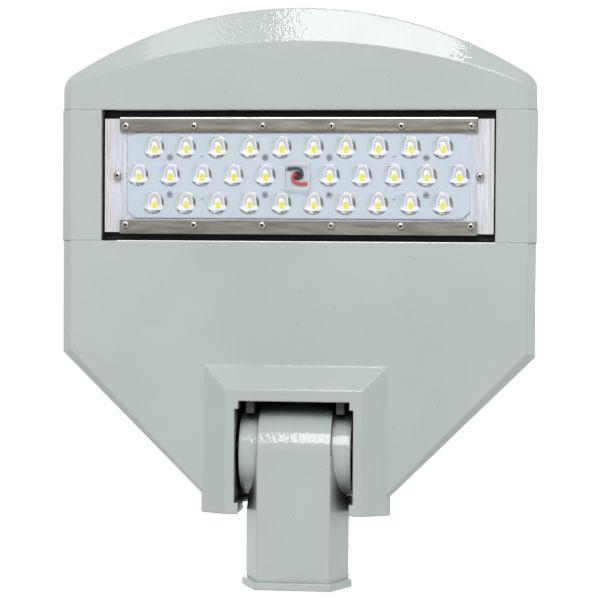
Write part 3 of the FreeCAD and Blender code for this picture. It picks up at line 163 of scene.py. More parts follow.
def painted(name, colour, shaded_box=None):
    """Gloss paint on a casting: orange peel, slight cloudiness, a few specks of dust, and
    painted shade that darkens its hollows;
    the last argument is a box (middle, half size) whose colour is darkened as painted shade."""
    material, base, _ = new_material(name)
    cloud = ramp(material, noise(material, 9, detail=3), 0.35, grey(0.93), 0.65, grey(1.0))
    tinted = mix_colour(material, 1.0, colour, cloud, "MULTIPLY")
    # Painted shade: ambient occlusion darkens the colour in hollows and between parts
    hollows = node(material, "ShaderNodeAmbientOcclusion", {"Distance": HOLLOW_SHADE_REACH}, samples=6)
    painted_hollow_shade = ramp(material, hollows.outputs["AO"], 0.28, grey(0.05), 0.66, grey(1.0))
    tinted = mix_colour(material, 1.0, tinted, painted_hollow_shade, "MULTIPLY")
    # Painted shade: the colour inside the given box is darkened where the pocket's shade falls
    if shaded_box:
        tinted = mix_colour(material, inside_box(material, *shaded_box), tinted, LUG_SHADE_COLOUR)
    specks = ramp(material, noise(material, 480, detail=0), 0.86, grey(0), 0.88, grey(1))
    connect(material, mix_colour(material, specks, tinted, DUST), base.inputs["Base Color"])
    shine = ramp(material, noise(material, 40), 0.3, grey(0.36), 0.7, grey(0.46))
    connect(material, shine, base.inputs["Roughness"])
    base.inputs["Specular IOR Level"].default_value = 0.2
    base.inputs["Coat Weight"].default_value = 0.62
    base.inputs["Coat Roughness"].default_value = 0.03
    edges = rounded_edges(material, CASTING_EDGE)
    peel = bump(material, noise(material, 360, detail=1.5), 0.6, 0.15 * MM, edges)
    for socket in ("Normal", "Coat Normal"):
        connect(material, peel, base.inputs[socket])
    return material


def two_tone(material, base, tone, dark, colour, shine, smooth, rough, span=(0.3, 0.7)):
    """Colour from dark to the full colour by one noise, roughness by another."""
    start, end = span
    connect(material, ramp(material, tone, start, dark, end, colour), base.inputs["Base Color"])
    connect(material, ramp(material, shine, 0.3, grey(smooth), 0.7, grey(rough)),
            base.inputs["Roughness"])


def brushed(name, colour, along, roughness=0.34):
    """Rolled steel, its grain along an axis."""
    material, base, _ = new_material(name)
    lines = noise(material, 45, grain_along(along, 9.0), detail=4)
    two_tone(material, base, lines, shaded(colour, 0.74), colour,
             lines, roughness - 0.06, roughness + 0.1)
    base.inputs["Metallic"].default_value = 1.0
    edges = rounded_edges(material, 0.7 * MM)
    connect(material, bump(material, lines, 0.12, 0.02 * MM, edges), base.inputs["Normal"])
    return material


def bright_screw(name, colour):
    """Turned steel, uneven and a little stained."""
    material, base, _ = new_material(name)
    stain = noise(material, 900, detail=3)
    two_tone(material, base, stain, shaded(colour, 0.55), colour, stain, 0.16, 0.34,
             span=(0.35, 0.6))
    base.inputs["Metallic"].default_value = 1.0
    connect(material, rounded_edges(material, 0.15 * MM), base.inputs["Normal"])
    return material


def moulded(name, colour, roughness, shade=0.9):
    """Plastic, rubber or satin coating with a fine grain and slight changes of tone."""
    material, base, _ = new_material(name)
    cloud = noise(material, 60, detail=3)
    fine = noise(material, 1500, detail=2)
    two_tone(material, base, cloud, shaded(colour, shade), colour,
             fine, roughness, min(1, roughness + 0.12))
    edges = rounded_edges(material, 0.3 * MM)
    connect(material, bump(material, fine, 0.15, 0.03 * MM, edges), base.inputs["Normal"])
    return material


def extruded(name, colour, metallic, roughness, along):
    """An extrusion with faint die lines along its length."""
    material, base, _ = new_material(name)
    lines = noise(material, 45, grain_along(along, 30.0), detail=3)
    two_tone(material, base, lines, shaded(colour, 0.7), colour,
             lines, roughness, roughness + 0.12)
    base.inputs["Metallic"].default_value = metallic
    edges = rounded_edges(material, 0.3 * MM)
    connect(material, bump(material, lines, 0.3, 0.03 * MM, edges), base.inputs["Normal"])
    return material


def board_mask(name, colour):
    """White solder mask with copper tracks faintly raised under it."""
    material, base, _ = new_material(name)
    tracks = node(material, "ShaderNodeTexBrick",
                  {"Vector": object_place(material), "Scale": 90, "Mortar Size": 0.018,
                   "Mortar Smooth": 0.3, "Brick Width": 0.9, "Row Height": 0.35}).outputs["Fac"]
    connect(material, mix_colour(material, tracks, colour, shaded(colour, 0.93)),
            base.inputs["Base Color"])
    fine = noise(material, 2500, detail=2)
    connect(material, ramp(material, fine, 0.3, grey(0.32), 0.7, grey(0.45)),
            base.inputs["Roughness"])
    connect(material, bump(material, tracks, 0.3, 0.03 * MM), base.inputs["Normal"])
    return material


def clear(name, colour, roughness):
    """Clear acrylic that lets lamps shine through onto what is under it."""
    material, base, output = new_material(name)
    base.inputs["Base Color"].default_value = colour
    base.inputs["Transmission Weight"].default_value = 1.0
    base.inputs["IOR"].default_value = 1.49
    fine = noise(material, 220, detail=2)
    connect(material, ramp(material, fine, 0.3, grey(roughness), 0.7, grey(roughness * 1.8)),
            base.inputs["Roughness"])
    through = node(material, "ShaderNodeBsdfTransparent", {"Color": colour})
    rays = node(material, "ShaderNodeLightPath").outputs
    lit = maths(material, "MAXIMUM", rays["Is Shadow Ray"], rays["Is Diffuse Ray"])
    both = node(material, "ShaderNodeMixShader",
                {0: lit, 1: base.outputs[0], 2: through.outputs[0]})
    connect(material, both.outputs[0], output.inputs["Surface"])
    return material


PAINT = (0.485, 0.54, 0.53, 1)
# The two stop lugs at the front of the knuckle pocket, whose paint is darkened as painted shade
LUGS = ((0.031, -0.124, -0.023), (0.003, 0.0046, 0.0055))
HOUSING_PAINT = painted("housing_paint", PAINT, LUGS)
STRIP_STEEL = brushed("strip_steel", (0.32, 0.31, 0.275, 1), "X")
# Painted highlight: a much lighter copy of the strip steel for its rolled edge
HIGHLIGHT_STEEL = brushed("painted_highlight_steel", (0.92, 0.90, 0.86, 1), "X", roughness=0.3)
SCREW_STEEL = bright_screw("screw_steel", (0.80, 0.75, 0.67, 1))
DULL_STEEL = moulded("dull_steel", (0.46, 0.46, 0.44, 1), 0.4, shade=0.7)
# Painted shade: near black for blocks at the floors of the screws' cross recesses
RECESS_SHADE = bright_screw("painted_recess_shade", (0.05, 0.045, 0.035, 1))
# Painted shade: near-black steel for the pivot bolts and washers, which sit in the shade of the
# knuckle's side gaps
PIVOT_SHADE_STEEL = bright_screw("pivot_painted_shade", (0.04, 0.04, 0.04, 1))
SEAL_WHITE = moulded("seal_white", (0.72, 0.74, 0.76, 1), 0.5)
CLEAR_LENS = clear("clear_lens", (0.97, 0.98, 1.0, 1), 0.02)
# White for the ceramic packages, and for the bells and ovals that are painted reflection and
# painted highlight
CERAMIC_AND_PAINTED_REFLECTION = moulded("ceramic", (0.93, 0.93, 0.91, 1), 0.4, shade=0.96)
# Painted shadow: grey for the crescents beside the bells and the floors of the board screws'
# recesses
SHADOW_GREY = moulded("painted_shadow_grey", (0.26, 0.29, 0.31, 1), 0.4)
# Painted shade: greys for the inside of each bell and its rim arcs, darker parts of the painted
# reflection
CUP_SHADE_GREY = moulded("painted_cup_grey", (0.70, 0.69, 0.65, 1), 0.4)
ARC_SHADE_GREY = moulded("painted_arc_grey", (0.62, 0.62, 0.60, 1), 0.4)
PHOSPHOR = moulded("phosphor", (1.0, 0.88, 0.0, 1), 0.6, shade=0.97)
BLACK_JACKET = moulded("black_jacket", (0.03, 0.03, 0.035, 1), 0.4)
RED_JACKET = moulded("red_jacket", (0.75, 0.05, 0.04, 1), 0.4)

# The material of each slot of the record, and of the sub-parts that differ from their slot
FINISH = {
    "body_paint": painted("grey_paint", PAINT),
    "black_anodised": extruded("black_aluminium", (0.012, 0.012, 0.014, 1), 0.4, 0.38, "X"),
    "white_aluminium": extruded("white_plate", (0.86, 0.86, 0.87, 1), 0.0, 0.35, "Y"),
    "strip_steel": STRIP_STEEL,
    "steel_screws": SCREW_STEEL,
    "seal_rubber": moulded("seal_black", (0.02, 0.02, 0.02, 1), 0.62),
    "seal_white": SEAL_WHITE,
    "clear_lens": CLEAR_LENS,
    "board_white": board_mask("board_white", (0.62, 0.68, 0.71, 1)),
    "led_ceramic": CERAMIC_AND_PAINTED_REFLECTION,
    "led_phosphor": PHOSPHOR,
    "solder": bright_screw("solder", (0.70, 0.70, 0.68, 1)),
    "lead_black_jacket": BLACK_JACKET,
    "lead_red_jacket": RED_JACKET,
    "driver_case": extruded("driver_metal", (0.55, 0.56, 0.57, 1), 1.0, 0.32, "X"),
    "terminal_plastic": moulded("terminal", (0.78, 0.76, 0.68, 1), 0.45),
}
# Sub-parts with a material of their own; the housing's lugs and the pivot bolts and washers
# carry painted shade
OWN_FINISH = {"tail_housing": HOUSING_PAINT, "pivot_bolts": PIVOT_SHADE_STEEL,
              "pivot_washers": PIVOT_SHADE_STEEL}

for part in frame["record"]["subparts"]:
    cad = frame["nodes"][part["node"]]
    cad.data.materials.clear()
    cad.data.materials.append(OWN_FINISH.get(part["node"], FINISH[part["material_slot"]]))


# Mesh helpers

SMOOTH_ANGLE = math.radians(35)


def add_object(name, data):
    made = bpy.data.objects.new(name, data)
    bpy.context.scene.collection.objects.link(made)
    return made


def add_piece(name, mesh, material, replaced=()):
    """A mesh as a piece that rides on the head and stands for CAD nodes."""
    made = add_object(name, mesh)
    mesh.materials.append(material)
    for face in mesh.polygons:
        face.use_smooth = True
    mesh.set_sharp_from_angle(angle=SMOOTH_ANGLE)
    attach(made, HEAD)
    if replaced:
        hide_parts(*replaced)


def to_mesh(shape, name):
    mesh = bpy.data.meshes.new(name)
    bmesh.ops.recalc_face_normals(shape, faces=shape.faces)
    shape.to_mesh(mesh)
    shape.free()
    return mesh


def circle_points(count):
    """Cosine and sine of each of a number of equal turns."""
    turns = [2 * math.pi * i / count for i in range(count)]
    return [(math.cos(turn), math.sin(turn)) for turn in turns]


def bridge(shape, first, second):
    """Faces between two closed rings; a ring of one vertex is a tip."""
    count = max(len(first), len(second))
    for i in range(count):
        j = (i + 1) % count
        corners = [first[i % len(first)], first[j % len(first)],
                   second[j % len(second)], second[i % len(second)]]
        unique = list(dict.fromkeys(corners))
        if len(unique) > 2:
            shape.faces.new(unique)


def lathe(shape, profile, sides, centre):
    """Turns (radius, height) points about a vertical line; heights run down from centre.
    The first and last points are on the axis or get a flat cap."""
    rings = []
    for radius, height in profile:
        z = centre[2] - height
        around = circle_points(sides) if radius > 0 else [(0, 0)]
        rings.append([shape.verts.new((centre[0] + radius * across,
                                       centre[1] + radius * along, z))
                      for across, along in around])
    for low, high in zip(rings, rings[1:]):
        bridge(shape, low, high)
    for ring in (rings[0], rings[-1]):
        if len(ring) > 1:
            shape.faces.new(ring)


def block(shape, low, high, at=Matrix()):
    """A closed box between two corners, moved by a matrix."""
    low, high = Vector(low), Vector(high)
    place = Matrix.Translation((low + high) / 2) @ Matrix.Diagonal((*(high - low), 1))
    bmesh.ops.create_cube(shape, size=1.0, matrix=at @ place)


def prism(shape, outline, low, high):
    """A closed upright prism over a plan outline."""
    bottom, top = ([shape.verts.new((x, y, z)) for x, y in outline] for z in (low, high))
    shape.faces.new(bottom)
    shape.faces.new(top)
    bridge(shape, bottom, top)


def round_rectangle(half_x, half_y, radius, steps=6, middle=None):
    """Plan outline of a rectangle with round corners, round the module's middle."""
    cx, cy = middle or (MODULE_X, MODULE_Y)
    points = []
    for sx, sy, start in ((1, 1, 0), (-1, 1, 90), (-1, -1, 180), (1, -1, 270)):
        for i in range(steps + 1):
            turn = math.radians(start + 90 * i / steps)
            points.append((cx + sx * (half_x - radius) + radius * math.cos(turn),
                           cy + sy * (half_y - radius) + radius * math.sin(turn)))
    return points


def boolean(base, tool, operation):
    """The base mesh with a tool's shape joined or cut away."""
    first = add_object("base", base)
    second = add_object("tool", to_mesh(tool, "tool"))
    step = first.modifiers.new("step", "BOOLEAN")
    step.operation = operation
    step.solver = "EXACT"
    step.object = second
    shown = bpy.context.evaluated_depsgraph_get()
    result = bpy.data.meshes.new_from_object(first.evaluated_get(shown))
    for item in (first, second):
        bpy.data.objects.remove(item)
    return result


# Places read from the frame

def solid_places(name):
    """Middle, lowest and highest corner of each separate solid of a CAD node."""
    shape = bmesh.new()
    shape.from_mesh(frame["nodes"][name].data)
    bmesh.ops.remove_doubles(shape, verts=shape.verts, dist=1e-6)
    left = set(shape.verts)
    found = []
    while left:
        island = {left.pop()}
        reached = list(island)
        while reached:
            vertex = reached.pop()
            for edge in vertex.link_edges:
                other = edge.other_vert(vertex)
                if other in left:
                    left.remove(other)
                    island.add(other)
                    reached.append(other)
        points = [v.co for v in island]
        low = Vector([min(p[i] for p in points) for i in range(3)])
        high = Vector([max(p[i] for p in points) for i in range(3)])
        found.append(((low + high) / 2, low, high))
    shape.free()
    return sorted(found, key=lambda item: (round(item[0].y, 5), round(item[0].x, 5)))


lens_low, lens_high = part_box("lens_plate")
board_low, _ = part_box("led_board")
package_low, package_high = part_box("led_packages")
lamps = [place[0] for place in solid_places("led_packages")]
lamp_pitch = lamps[-1].x - lamps[-2].x
MODULE_X = (lens_low.x + lens_high.x) / 2
MODULE_Y = (lens_low.y + lens_high.y) / 2


# Lens plate: flange, raised middle, cover over the terminals and thirty domes

DOME_RADIUS = 7.5 * MM
DOME_HEIGHT = 5.0 * MM
FOOT_RADIUS = 8.3 * MM
FOOT_HEIGHT = 0.35 * MM
FOOT_BEVEL = 0.3 * MM
FLANGE = 2.2 * MM
FLANGE_CORNER = 3 * MM
RAISED_HALF = Vector((119.8, 30.1)) * MM
RAISED_CORNER = 1.2 * MM
COVER_HALF = 8.9 * MM
COVER_RISE = 1.4 * MM
COVER_WALL = 1 * MM
COVER_CORNER = 0.8 * MM
LENS_SKIN = 2.0 * MM
HOLLOW_HALF = Vector((117.7, 29.2)) * MM
OVERLAP = 0.5 * MM

flange_back = lens_high.z
lens_face = lens_low.z + DOME_HEIGHT
lens_inside = lens_face + LENS_SKIN
cover_face = lens_face - COVER_RISE


def dome_profile(steps=9):
    """Points from the dome's foot to its tip; a dome is half an ellipsoid."""
    foot = [(FOOT_RADIUS, -1 * MM), (FOOT_RADIUS, FOOT_HEIGHT * 0.5),
            (FOOT_RADIUS - FOOT_BEVEL, FOOT_HEIGHT), (DOME_RADIUS, FOOT_HEIGHT)]
    turns = [math.pi / 2 * i / steps for i in range(1, steps)]
    return (foot + [(DOME_RADIUS * math.cos(turn), DOME_HEIGHT * math.sin(turn))
                    for turn in turns] + [(0, DOME_HEIGHT)])


def lens_mesh():
    half = (lens_high - lens_low) / 2
    plate, raised, cover, domes, hollow, cover_hollow = (bmesh.new() for _ in range(6))
    prism(plate, round_rectangle(half.x, half.y, FLANGE_CORNER),
          flange_back - FLANGE, flange_back)
    prism(raised, round_rectangle(*RAISED_HALF, RAISED_CORNER),
          lens_face, flange_back - OVERLAP)
    prism(cover, round_rectangle(COVER_HALF, COVER_HALF, COVER_CORNER),
          cover_face, lens_face + LENS_SKIN / 2)
    for lamp in lamps:
        lathe(domes, dome_profile(), 36, (lamp.x, lamp.y, lens_face))
    centre = Vector((MODULE_X, MODULE_Y))
    block(hollow, (*(centre - HOLLOW_HALF), lens_inside),
          (*(centre + HOLLOW_HALF), flange_back + 1 * MM))
    inner = Vector((1, 1)) * (COVER_HALF - COVER_WALL)
    block(cover_hollow, (*(centre - inner), cover_face + COVER_WALL),
          (*(centre + inner), lens_inside + OVERLAP))
    mesh = to_mesh(plate, "plate")
    for tool in (raised, cover, domes):
        mesh = boolean(mesh, tool, "UNION")
    for tool in (hollow, cover_hollow):
        mesh = boolean(mesh, tool, "DIFFERENCE")
    return mesh


add_piece("clear_lens_plate", lens_mesh(), CLEAR_LENS, ["lens_plate"])


# White rim of the cover over the lead terminals

RIM_WIDTH = 0.9 * MM
RIM_THICKNESS = 0.15 * MM
rim = bmesh.new()
rim_rings = []
for half, radius, levels in (
        (COVER_HALF, COVER_CORNER, (cover_face - RIM_THICKNESS, cover_face)),
        (COVER_HALF - RIM_WIDTH, COVER_CORNER / 2, (cover_face, cover_face - RIM_THICKNESS))):
    outline = round_rectangle(half, half, radius)
    for level in levels:
        rim_rings.append([rim.verts.new((x, y, level)) for x, y in outline])
for first, second in zip(rim_rings, rim_rings[1:] + rim_rings[:1]):
    bridge(rim, first, second)
add_piece("terminal_cover_rim", to_mesh(rim, "terminal_cover_rim"), SEAL_WHITE)


# Lamps: a ceramic package and a phosphor bead, with flat plates under the lens that paint the
# optic's look: a white bell as painted reflection, a white oval as painted highlight, and grey
# cups, rim arcs and crescents as painted shade

PACKAGE_HALF = 1.72 * MM
PACKAGE_CORNER = 0.3 * MM
BELL_FACE = lens_inside + 0.12 * MM
BELL_BACK = BELL_FACE + 0.5 * MM
BEAD_HEIGHT = 0.1 * MM
# Thickness of the grey crescents of painted shade
SHADE_CRESCENT_THICKNESS = 0.2 * MM

# Plan shapes below are in millimetres from the lamp's middle; a bell sits off that middle
BELL_SHIFT = (0.4, 0.7)
BEAD_HALF = (1.25, 2.0)
# Half of the outline of the white bell, a painted reflection, from its top to its lip
BELL = [(0.0, -5.9), (1.5, -5.7), (2.6, -5.0), (3.1, -3.9), (3.4, -2.4), (3.5, -0.9), (3.7, 0.2),
        (4.3, 0.9), (4.9, 1.2), (5.1, 1.6), (4.7, 2.1), (3.4, 2.6), (1.7, 2.9), (0.0, 3.0)]
# Painted shade: the warmer grey inside of the bell, the bell's outline down to its lip, drawn in
CUP_SHARE = (0.84, 0.93)
BELL_LIP = 0.5
CUP_SHADE_OUTLINE = [(x * CUP_SHARE[0], y * CUP_SHARE[1]) for x, y in BELL if y < BELL_LIP]
# An oval seen through the optic, with a grey rim of painted shade and a white middle of painted
# highlight: its radii along X and Y and its rim's width
CUP_MIDDLE = (0.0, -1.0)
CUP_RADII = (2.25, 3.3)
CUP_RIM = 0.5
# The grey crescents beside the bell, right and left: painted shade
SHADE_CRESCENTS = [
    [(2.8, -6.2), (4.2, -5.2), (5.3, -3.9), (5.9, -2.4), (5.6, -0.9), (4.9, -0.9),
     (4.3, -2.4), (4.0, -3.9), (3.4, -5.0), (2.6, -5.8)],
    [(-3.0, -6.1), (-4.6, -5.1), (-5.7, -3.7), (-6.3, -2.2), (-6.3, -0.6), (-5.9, 0.4),
     (-5.4, -0.5), (-5.1, -2.1), (-4.5, -3.6), (-3.4, -5.1)],
]


def mirrored(half):
    """An outline from its half with X of 0 or more."""
    return half + [(-x, y) for x, y in reversed(half) if x > 0]


def oval(middle, radii, sides=24):
    """Plan outline of an ellipse."""
    return [(middle[0] + radii[0] * across, middle[1] + radii[1] * along)
            for across, along in circle_points(sides)]


def arc_shade_outline(start=195, sweep=150, steps=14):
    """Plan outline of the upper part of the thin grey oval rim of painted shade; angles in
    degrees.
    """
    turns = [math.radians(start + sweep * i / steps) for i in range(steps + 1)]
    outer, inner = ([(CUP_MIDDLE[0] + (CUP_RADII[0] - width) * math.cos(turn),
                      CUP_MIDDLE[1] + (CUP_RADII[1] - width) * math.sin(turn))
                     for turn in turns] for width in (0, CUP_RIM))
    return outer + inner[::-1]


def placed(outline, lamp, shift=BELL_SHIFT):
    return [(lamp.x + (x + shift[0]) * MM, lamp.y + (y + shift[1]) * MM) for x, y in outline]


# Painted highlight: the white oval inside the grey rim
painted_highlight_oval = oval(CUP_MIDDLE, [radius - CUP_RIM for radius in CUP_RADII])
packages_and_painted_bells, beads, cup_shade_plates, arc_shade_plates, shade_crescents = (bmesh.new() for _ in range(5))
for lamp in lamps:
    prism(packages_and_painted_bells, round_rectangle(PACKAGE_HALF, PACKAGE_HALF, PACKAGE_CORNER, 3, lamp.xy),
          package_low.z, package_high.z)
    # Painted reflection: a white bell plate behind the inside of the lens
    prism(packages_and_painted_bells, placed(mirrored(BELL), lamp), BELL_FACE, BELL_BACK)
    # What stands out from the bell's face, by a share of the bead's height: the phosphor bead,
    # and the painted shade and painted highlight drawn on the bell
    for shape, outline, rise in (
            (beads, oval((0, 0), BEAD_HALF), 1), (cup_shade_plates, mirrored(CUP_SHADE_OUTLINE), 0.2),
            (packages_and_painted_bells, painted_highlight_oval, 0.4), (arc_shade_plates, arc_shade_outline(), 0.5)):
        prism(shape, placed(outline, lamp), BELL_FACE - BEAD_HEIGHT * rise, BELL_FACE)
    # Painted shade: grey crescents beside each bell
    for shade_crescent in SHADE_CRESCENTS:
        prism(shade_crescents, placed(shade_crescent, lamp, (0, 0)),
              BELL_BACK, BELL_BACK + SHADE_CRESCENT_THICKNESS)
for shape, name, material, slot, replaced in (
        (packages_and_painted_bells, "lamp_packages_and_painted_bells", CERAMIC_AND_PAINTED_REFLECTION, "led_ceramic", ["led_packages"]),
        (beads, "lamp_beads", PHOSPHOR, "led_phosphor", ["led_phosphors"]),
        (cup_shade_plates, "painted_cup_shade", CUP_SHADE_GREY, "led_ceramic", []),
        (arc_shade_plates, "painted_arc_shade", ARC_SHADE_GREY, "led_ceramic", []),
        (shade_crescents, "painted_shade_crescents", SHADOW_GREY, "board_white", [])):
    add_piece(name, to_mesh(shape, name), material, replaced)


# White pins that locate the lens on the board

PIN_X = 3 * lamp_pitch
PIN_Y = 14.5 * MM
# Radius and height, from the inside of the lens back towards the board
PIN_PROFILE = ((1.3 * MM, -0.9 * MM), (1.3 * MM, -0.25 * MM), (0.8 * MM, -0.15 * MM),
               (0, -0.15 * MM))
pins = bmesh.new()
for side_x in (-1, 1):
    for side_y in (-1, 1):
        lathe(pins, PIN_PROFILE, 20,
              (MODULE_X + side_x * PIN_X, MODULE_Y + side_y * PIN_Y, lens_inside))
add_piece("locating_pins", to_mesh(pins, "locating_pins"), SEAL_WHITE)


# Leads, curved from their pads round to the hole

def smooth_line(path, steps=8):
    """Points along a smooth curve through the points of a path."""
    points = [path[0]] + list(path) + [path[-1]]
    line = []
    for before, start, end, after in zip(points, points[1:], points[2:], points[3:]):
        for i in range(steps):
            t = i / steps
            line.append(0.5 * ((2 * start) + (end - before) * t
                               + (2 * before - 5 * start + 4 * end - after) * t * t
                               + (3 * start - before - 3 * end + after) * t * t * t))
    return line + [Vector(path[-1])]


def tube(path, radius, name, sides=14):
    """A round bar along a smooth curve through the points, closed at both ends."""
    line = smooth_line(path)
    shape = bmesh.new()
    side = Vector((0, 0, 1))
    rings = []
    for i, point in enumerate(line):
        ahead = line[min(i + 1, len(line) - 1)] - line[max(i - 1, 0)]
        ahead.normalize()
        side = (side - ahead * side.dot(ahead)).normalized()
        across = ahead.cross(side)
        rings.append([shape.verts.new(point + radius * (cosine * side + sine * across))
                      for cosine, sine in circle_points(sides)])
    for low, high in zip(rings, rings[1:]):
        bridge(shape, low, high)
    shape.faces.new(rings[0])
    shape.faces.new(rings[-1])
    return to_mesh(shape, name)


LEAD_RADIUS = 1.05 * MM
LEAD_GAP = 0.5 * MM
# Millimetres from the module's middle and out from the board
LEAD_PATHS = {
    "lead_black": [(-6.6, -4.9, 0), (-4.4, -5.0, 0.1), (-0.6, -5.3, 0.5), (2.6, -4.2, 0.7),
                   (3.6, -1.2, 0.6), (2.4, 1.2, -0.6), (1.25, 0.4, -3.4), (1.25, 0, -7.0),
                   (1.25, 0, -13.0)],
    "lead_red": [(6.6, 4.9, 0), (4.6, 5.1, 0.1), (1.0, 4.9, 0.5), (-2.4, 3.4, 0.7),
                 (-3.3, 0.9, 0.6), (-2.2, -1.4, -0.4), (-1.25, -0.4, -3.4), (-1.25, 0, -7.0),
                 (-1.25, 0, -13.0)],
}
lead_start = Vector((MODULE_X, MODULE_Y, board_low.z - LEAD_GAP - LEAD_RADIUS))
for cad, jacket in (("lead_black", BLACK_JACKET), ("lead_red", RED_JACKET)):
    lead = [lead_start + Vector((x, y, -z)) * MM for x, y, z in LEAD_PATHS[cad]]
    add_piece(cad + "_curved", tube(lead, LEAD_RADIUS, cad), jacket, [cad])


# Cross-recessed screws: sizes are shares of the head's radius and height

RECESS_ARM = 0.50
RECESS_HALF = 0.16
RECESS_DEPTH = 0.6
# Sizes of the dark blocks of painted shade at the recess floors
FLOOR_ARM = 0.48
FLOOR_HALF_WIDTH = 0.15
FLOOR_TOP = 0.55
FLOOR_BACK = 0.35
SHANK = 0.5
PAN_PROFILE = ((0.94, 0), (1, 0.18), (1, 0.45), (0.93, 0.70), (0.76, 0.90), (0.5, 1), (0, 1))
# Each screw stops at a turn of its own, in radians
TURNS = (0.3, 1.1, 0.7, 0.1, 0.9, 0.5)


def screw_head(radius, height):
    """A pan head with a cross recess, face down, its seat at the origin."""
    head = bmesh.new()
    lathe(head, [(radius * r, height * h) for r, h in PAN_PROFILE], 28, (0, 0, 0))
    mesh = to_mesh(head, "head")
    arm, half = radius * RECESS_ARM, radius * RECESS_HALF
    for across, along in ((arm, half), (half, arm)):
        slot = bmesh.new()
        block(slot, (-across, -along, -height - 1 * MM),
              (across, along, -height * (1 - RECESS_DEPTH)))
        mesh = boolean(mesh, slot, "DIFFERENCE")
    return mesh


def add_screws(name, cad, radius, height, steel, recess_shade_material):
    """Detailed screws in the places of a CAD node's, with dark blocks of painted shade at the
    floors of their recesses.
    """
    head = screw_head(radius, height)
    screws, shanks, recess_shade_blocks = (bmesh.new() for _ in range(3))
    for index, (middle, low, high) in enumerate(solid_places(cad)):
        seat = low.z + height
        turn = Matrix.Rotation(TURNS[index % len(TURNS)], 4, "Z")
        place = Matrix.Translation((middle.x, middle.y, seat)) @ turn
        before = len(screws.verts)
        screws.from_mesh(head)
        screws.verts.ensure_lookup_table()
        bmesh.ops.transform(screws, matrix=place, verts=screws.verts[before:])
        # Painted shade: two dark blocks across each other at the floor of the recess
        for quarter in (0, math.pi / 2):
            block(recess_shade_blocks, (-radius * FLOOR_ARM, -radius * FLOOR_HALF_WIDTH, -height * FLOOR_TOP),
                  (radius * FLOOR_ARM, radius * FLOOR_HALF_WIDTH, -height * FLOOR_BACK),
                  place @ Matrix.Rotation(quarter, 4, "Z"))
        if high.z - seat > 0.1 * MM:
            lathe(shanks, [(radius * SHANK, 0), (radius * SHANK, seat - high.z)], 12,
                  (middle.x, middle.y, seat))
    screws.from_mesh(to_mesh(shanks, "shanks"))
    mesh = bpy.data.meshes.new(name)
    screws.to_mesh(mesh)
    screws.free()
    add_piece(name, mesh, steel, [cad])
    add_piece(name + "_recess_shade", to_mesh(recess_shade_blocks, name + "_recess_shade"), recess_shade_material)


M3_HEAD = (2.7 * MM, 2.0 * MM)
BOARD_HEAD = (2.2 * MM, 1.1 * MM)
add_screws("strip_screw_heads", "strip_screws", *M3_HEAD, SCREW_STEEL, RECESS_SHADE)
add_screws("end_screw_heads", "lens_end_screws", *M3_HEAD, SCREW_STEEL, RECESS_SHADE)
add_screws("board_screw_heads", "board_screws", *BOARD_HEAD, DULL_STEEL, SHADOW_GREY)


# Rolled edge of the strip on the nose side, in a much lighter steel as a painted highlight

ROLL_RADIUS = 0.95 * MM
ROLL_DROP = ROLL_RADIUS * 0.6
strip_low, strip_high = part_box("clamp_strip_nose_side")
rolled = [Vector((x, strip_low.y + ROLL_RADIUS, strip_low.z + ROLL_DROP))
          for x in (strip_low.x, MODULE_X, strip_high.x)]
add_piece("strip_rolled_edge", tube(rolled, ROLL_RADIUS, "strip_rolled_edge"), HIGHLIGHT_STEEL)


# Camera: below the lamp, a little to its right, as the photograph was taken

TARGET = Vector((2.9, -197.2, -27.0)) * MM
DISTANCE = 1.5
YAW, PITCH, ROLL = (math.radians(angle) for angle in (6.88, 1.72, 0.35))
PIXEL = 0.68 * MM
IMAGE = 600
SENSOR = 36

backwards = Vector((math.sin(YAW) * math.cos(PITCH), -math.sin(PITCH),
                    -math.cos(YAW) * math.cos(PITCH)))
level_right = (-backwards).cross(Vector((0, -1, 0))).normalized()
level_up = level_right.cross(-backwards).normalized()
right = math.cos(ROLL) * level_right + math.sin(ROLL) * level_up
up = -math.sin(ROLL) * level_right + math.cos(ROLL) * level_up

lens = bpy.data.cameras.new("camera")
camera = add_object("camera", lens)
camera.matrix_world = (Matrix.Translation(TARGET + backwards * DISTANCE)
                       @ Matrix((right, up, backwards)).transposed().to_4x4())
lens.sensor_width = SENSOR
lens.lens = SENSOR * DISTANCE / (PIXEL * IMAGE)
lens.clip_start = 0.05
lens.clip_end = 80
bpy.context.scene.camera = camera


# Light: place, target, width, height and brightness, where paper white is 1

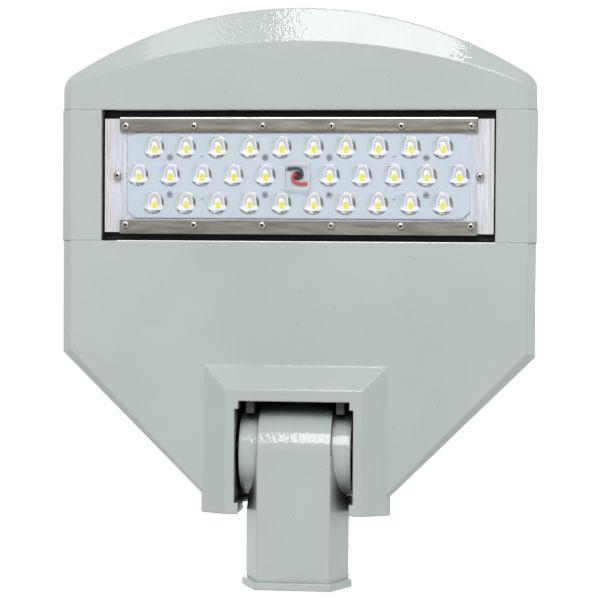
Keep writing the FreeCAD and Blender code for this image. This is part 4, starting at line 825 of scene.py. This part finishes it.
for name, place, target, width, height, radiance in (
        ("front_box", (0.105, -1.975, -2.875), (0.03, -0.1, 0), 1.15, 1.40, 12.0),
        ("left_panel", (-0.45, -1.05, -1.15), (0, -0.38, 0), 0.23, 0.5, 3.5),
        ("top_box", (0.2, -0.4, 2.0), (0, -0.2, 0), 1.6, 1.6, 2.5),
        ("right_box", (2.2, -0.3, 0.1), (0, -0.2, 0), 1.3, 1.3, 0.7),
        ("back_box", (0, 2.2, 0.6), (0, -0.2, 0), 1.3, 1.3, 1.5)):
    data = bpy.data.lights.new(name, "AREA")
    data.shape = "RECTANGLE"
    data.size = width
    data.size_y = height
    data.energy = radiance * math.pi * width * height
    light = add_object(name, data)
    light.location = place
    light.rotation_mode = "QUATERNION"
    light.rotation_quaternion = (Vector(target) - Vector(place)).to_track_quat("-Z", "Y")
    light.visible_camera = False

# The studio's walls: full white where seen or mirrored, softer as light
WALL_LIGHT = 0.545
world = bpy.data.worlds.new("studio")
bpy.context.scene.world = world
world.use_nodes = True
walls = world.node_tree.nodes["Background"]
rays = node(world, "ShaderNodeLightPath").outputs
seen = maths(world, "MAXIMUM", rays["Is Camera Ray"], rays["Is Glossy Ray"])
strength = node(world, "ShaderNodeMapRange",
                {"Value": seen, "To Min": WALL_LIGHT, "To Max": 1.0})
connect(world, strength.outputs[0], walls.inputs["Strength"])
walls.inputs["Color"].default_value = (1, 1, 1, 1)


# Floor, well below the lamp and the camera, a little brighter to the camera

FLOOR_DROP = 4.2
FLOOR_HALF = 25.0
FLOOR_GLOW = 0.32
grid = bmesh.new()
bmesh.ops.create_grid(grid, x_segments=1, y_segments=1, size=FLOOR_HALF,
                      matrix=Matrix.Translation((0, 0, -FLOOR_DROP)))
floor_mesh = bpy.data.meshes.new("floor")
grid.to_mesh(floor_mesh)
grid.free()
floor_paint, floor_base, _ = new_material("floor")
floor_tone = ramp(floor_paint, noise(floor_paint, 3), 0.3, grey(0.90), 0.7, grey(0.93))
connect(floor_paint, floor_tone, floor_base.inputs["Base Color"])
floor_base.inputs["Roughness"].default_value = 0.9
floor_base.inputs["Emission Color"].default_value = (1, 1, 1, 1)
floor_rays = node(floor_paint, "ShaderNodeLightPath").outputs
connect(floor_paint, maths(floor_paint, "MULTIPLY", floor_rays["Is Camera Ray"], FLOOR_GLOW),
        floor_base.inputs["Emission Strength"])
floor_mesh.materials.append(floor_paint)
add_object("floor", floor_mesh)

bpy.context.scene.view_settings.view_transform = "Standard"
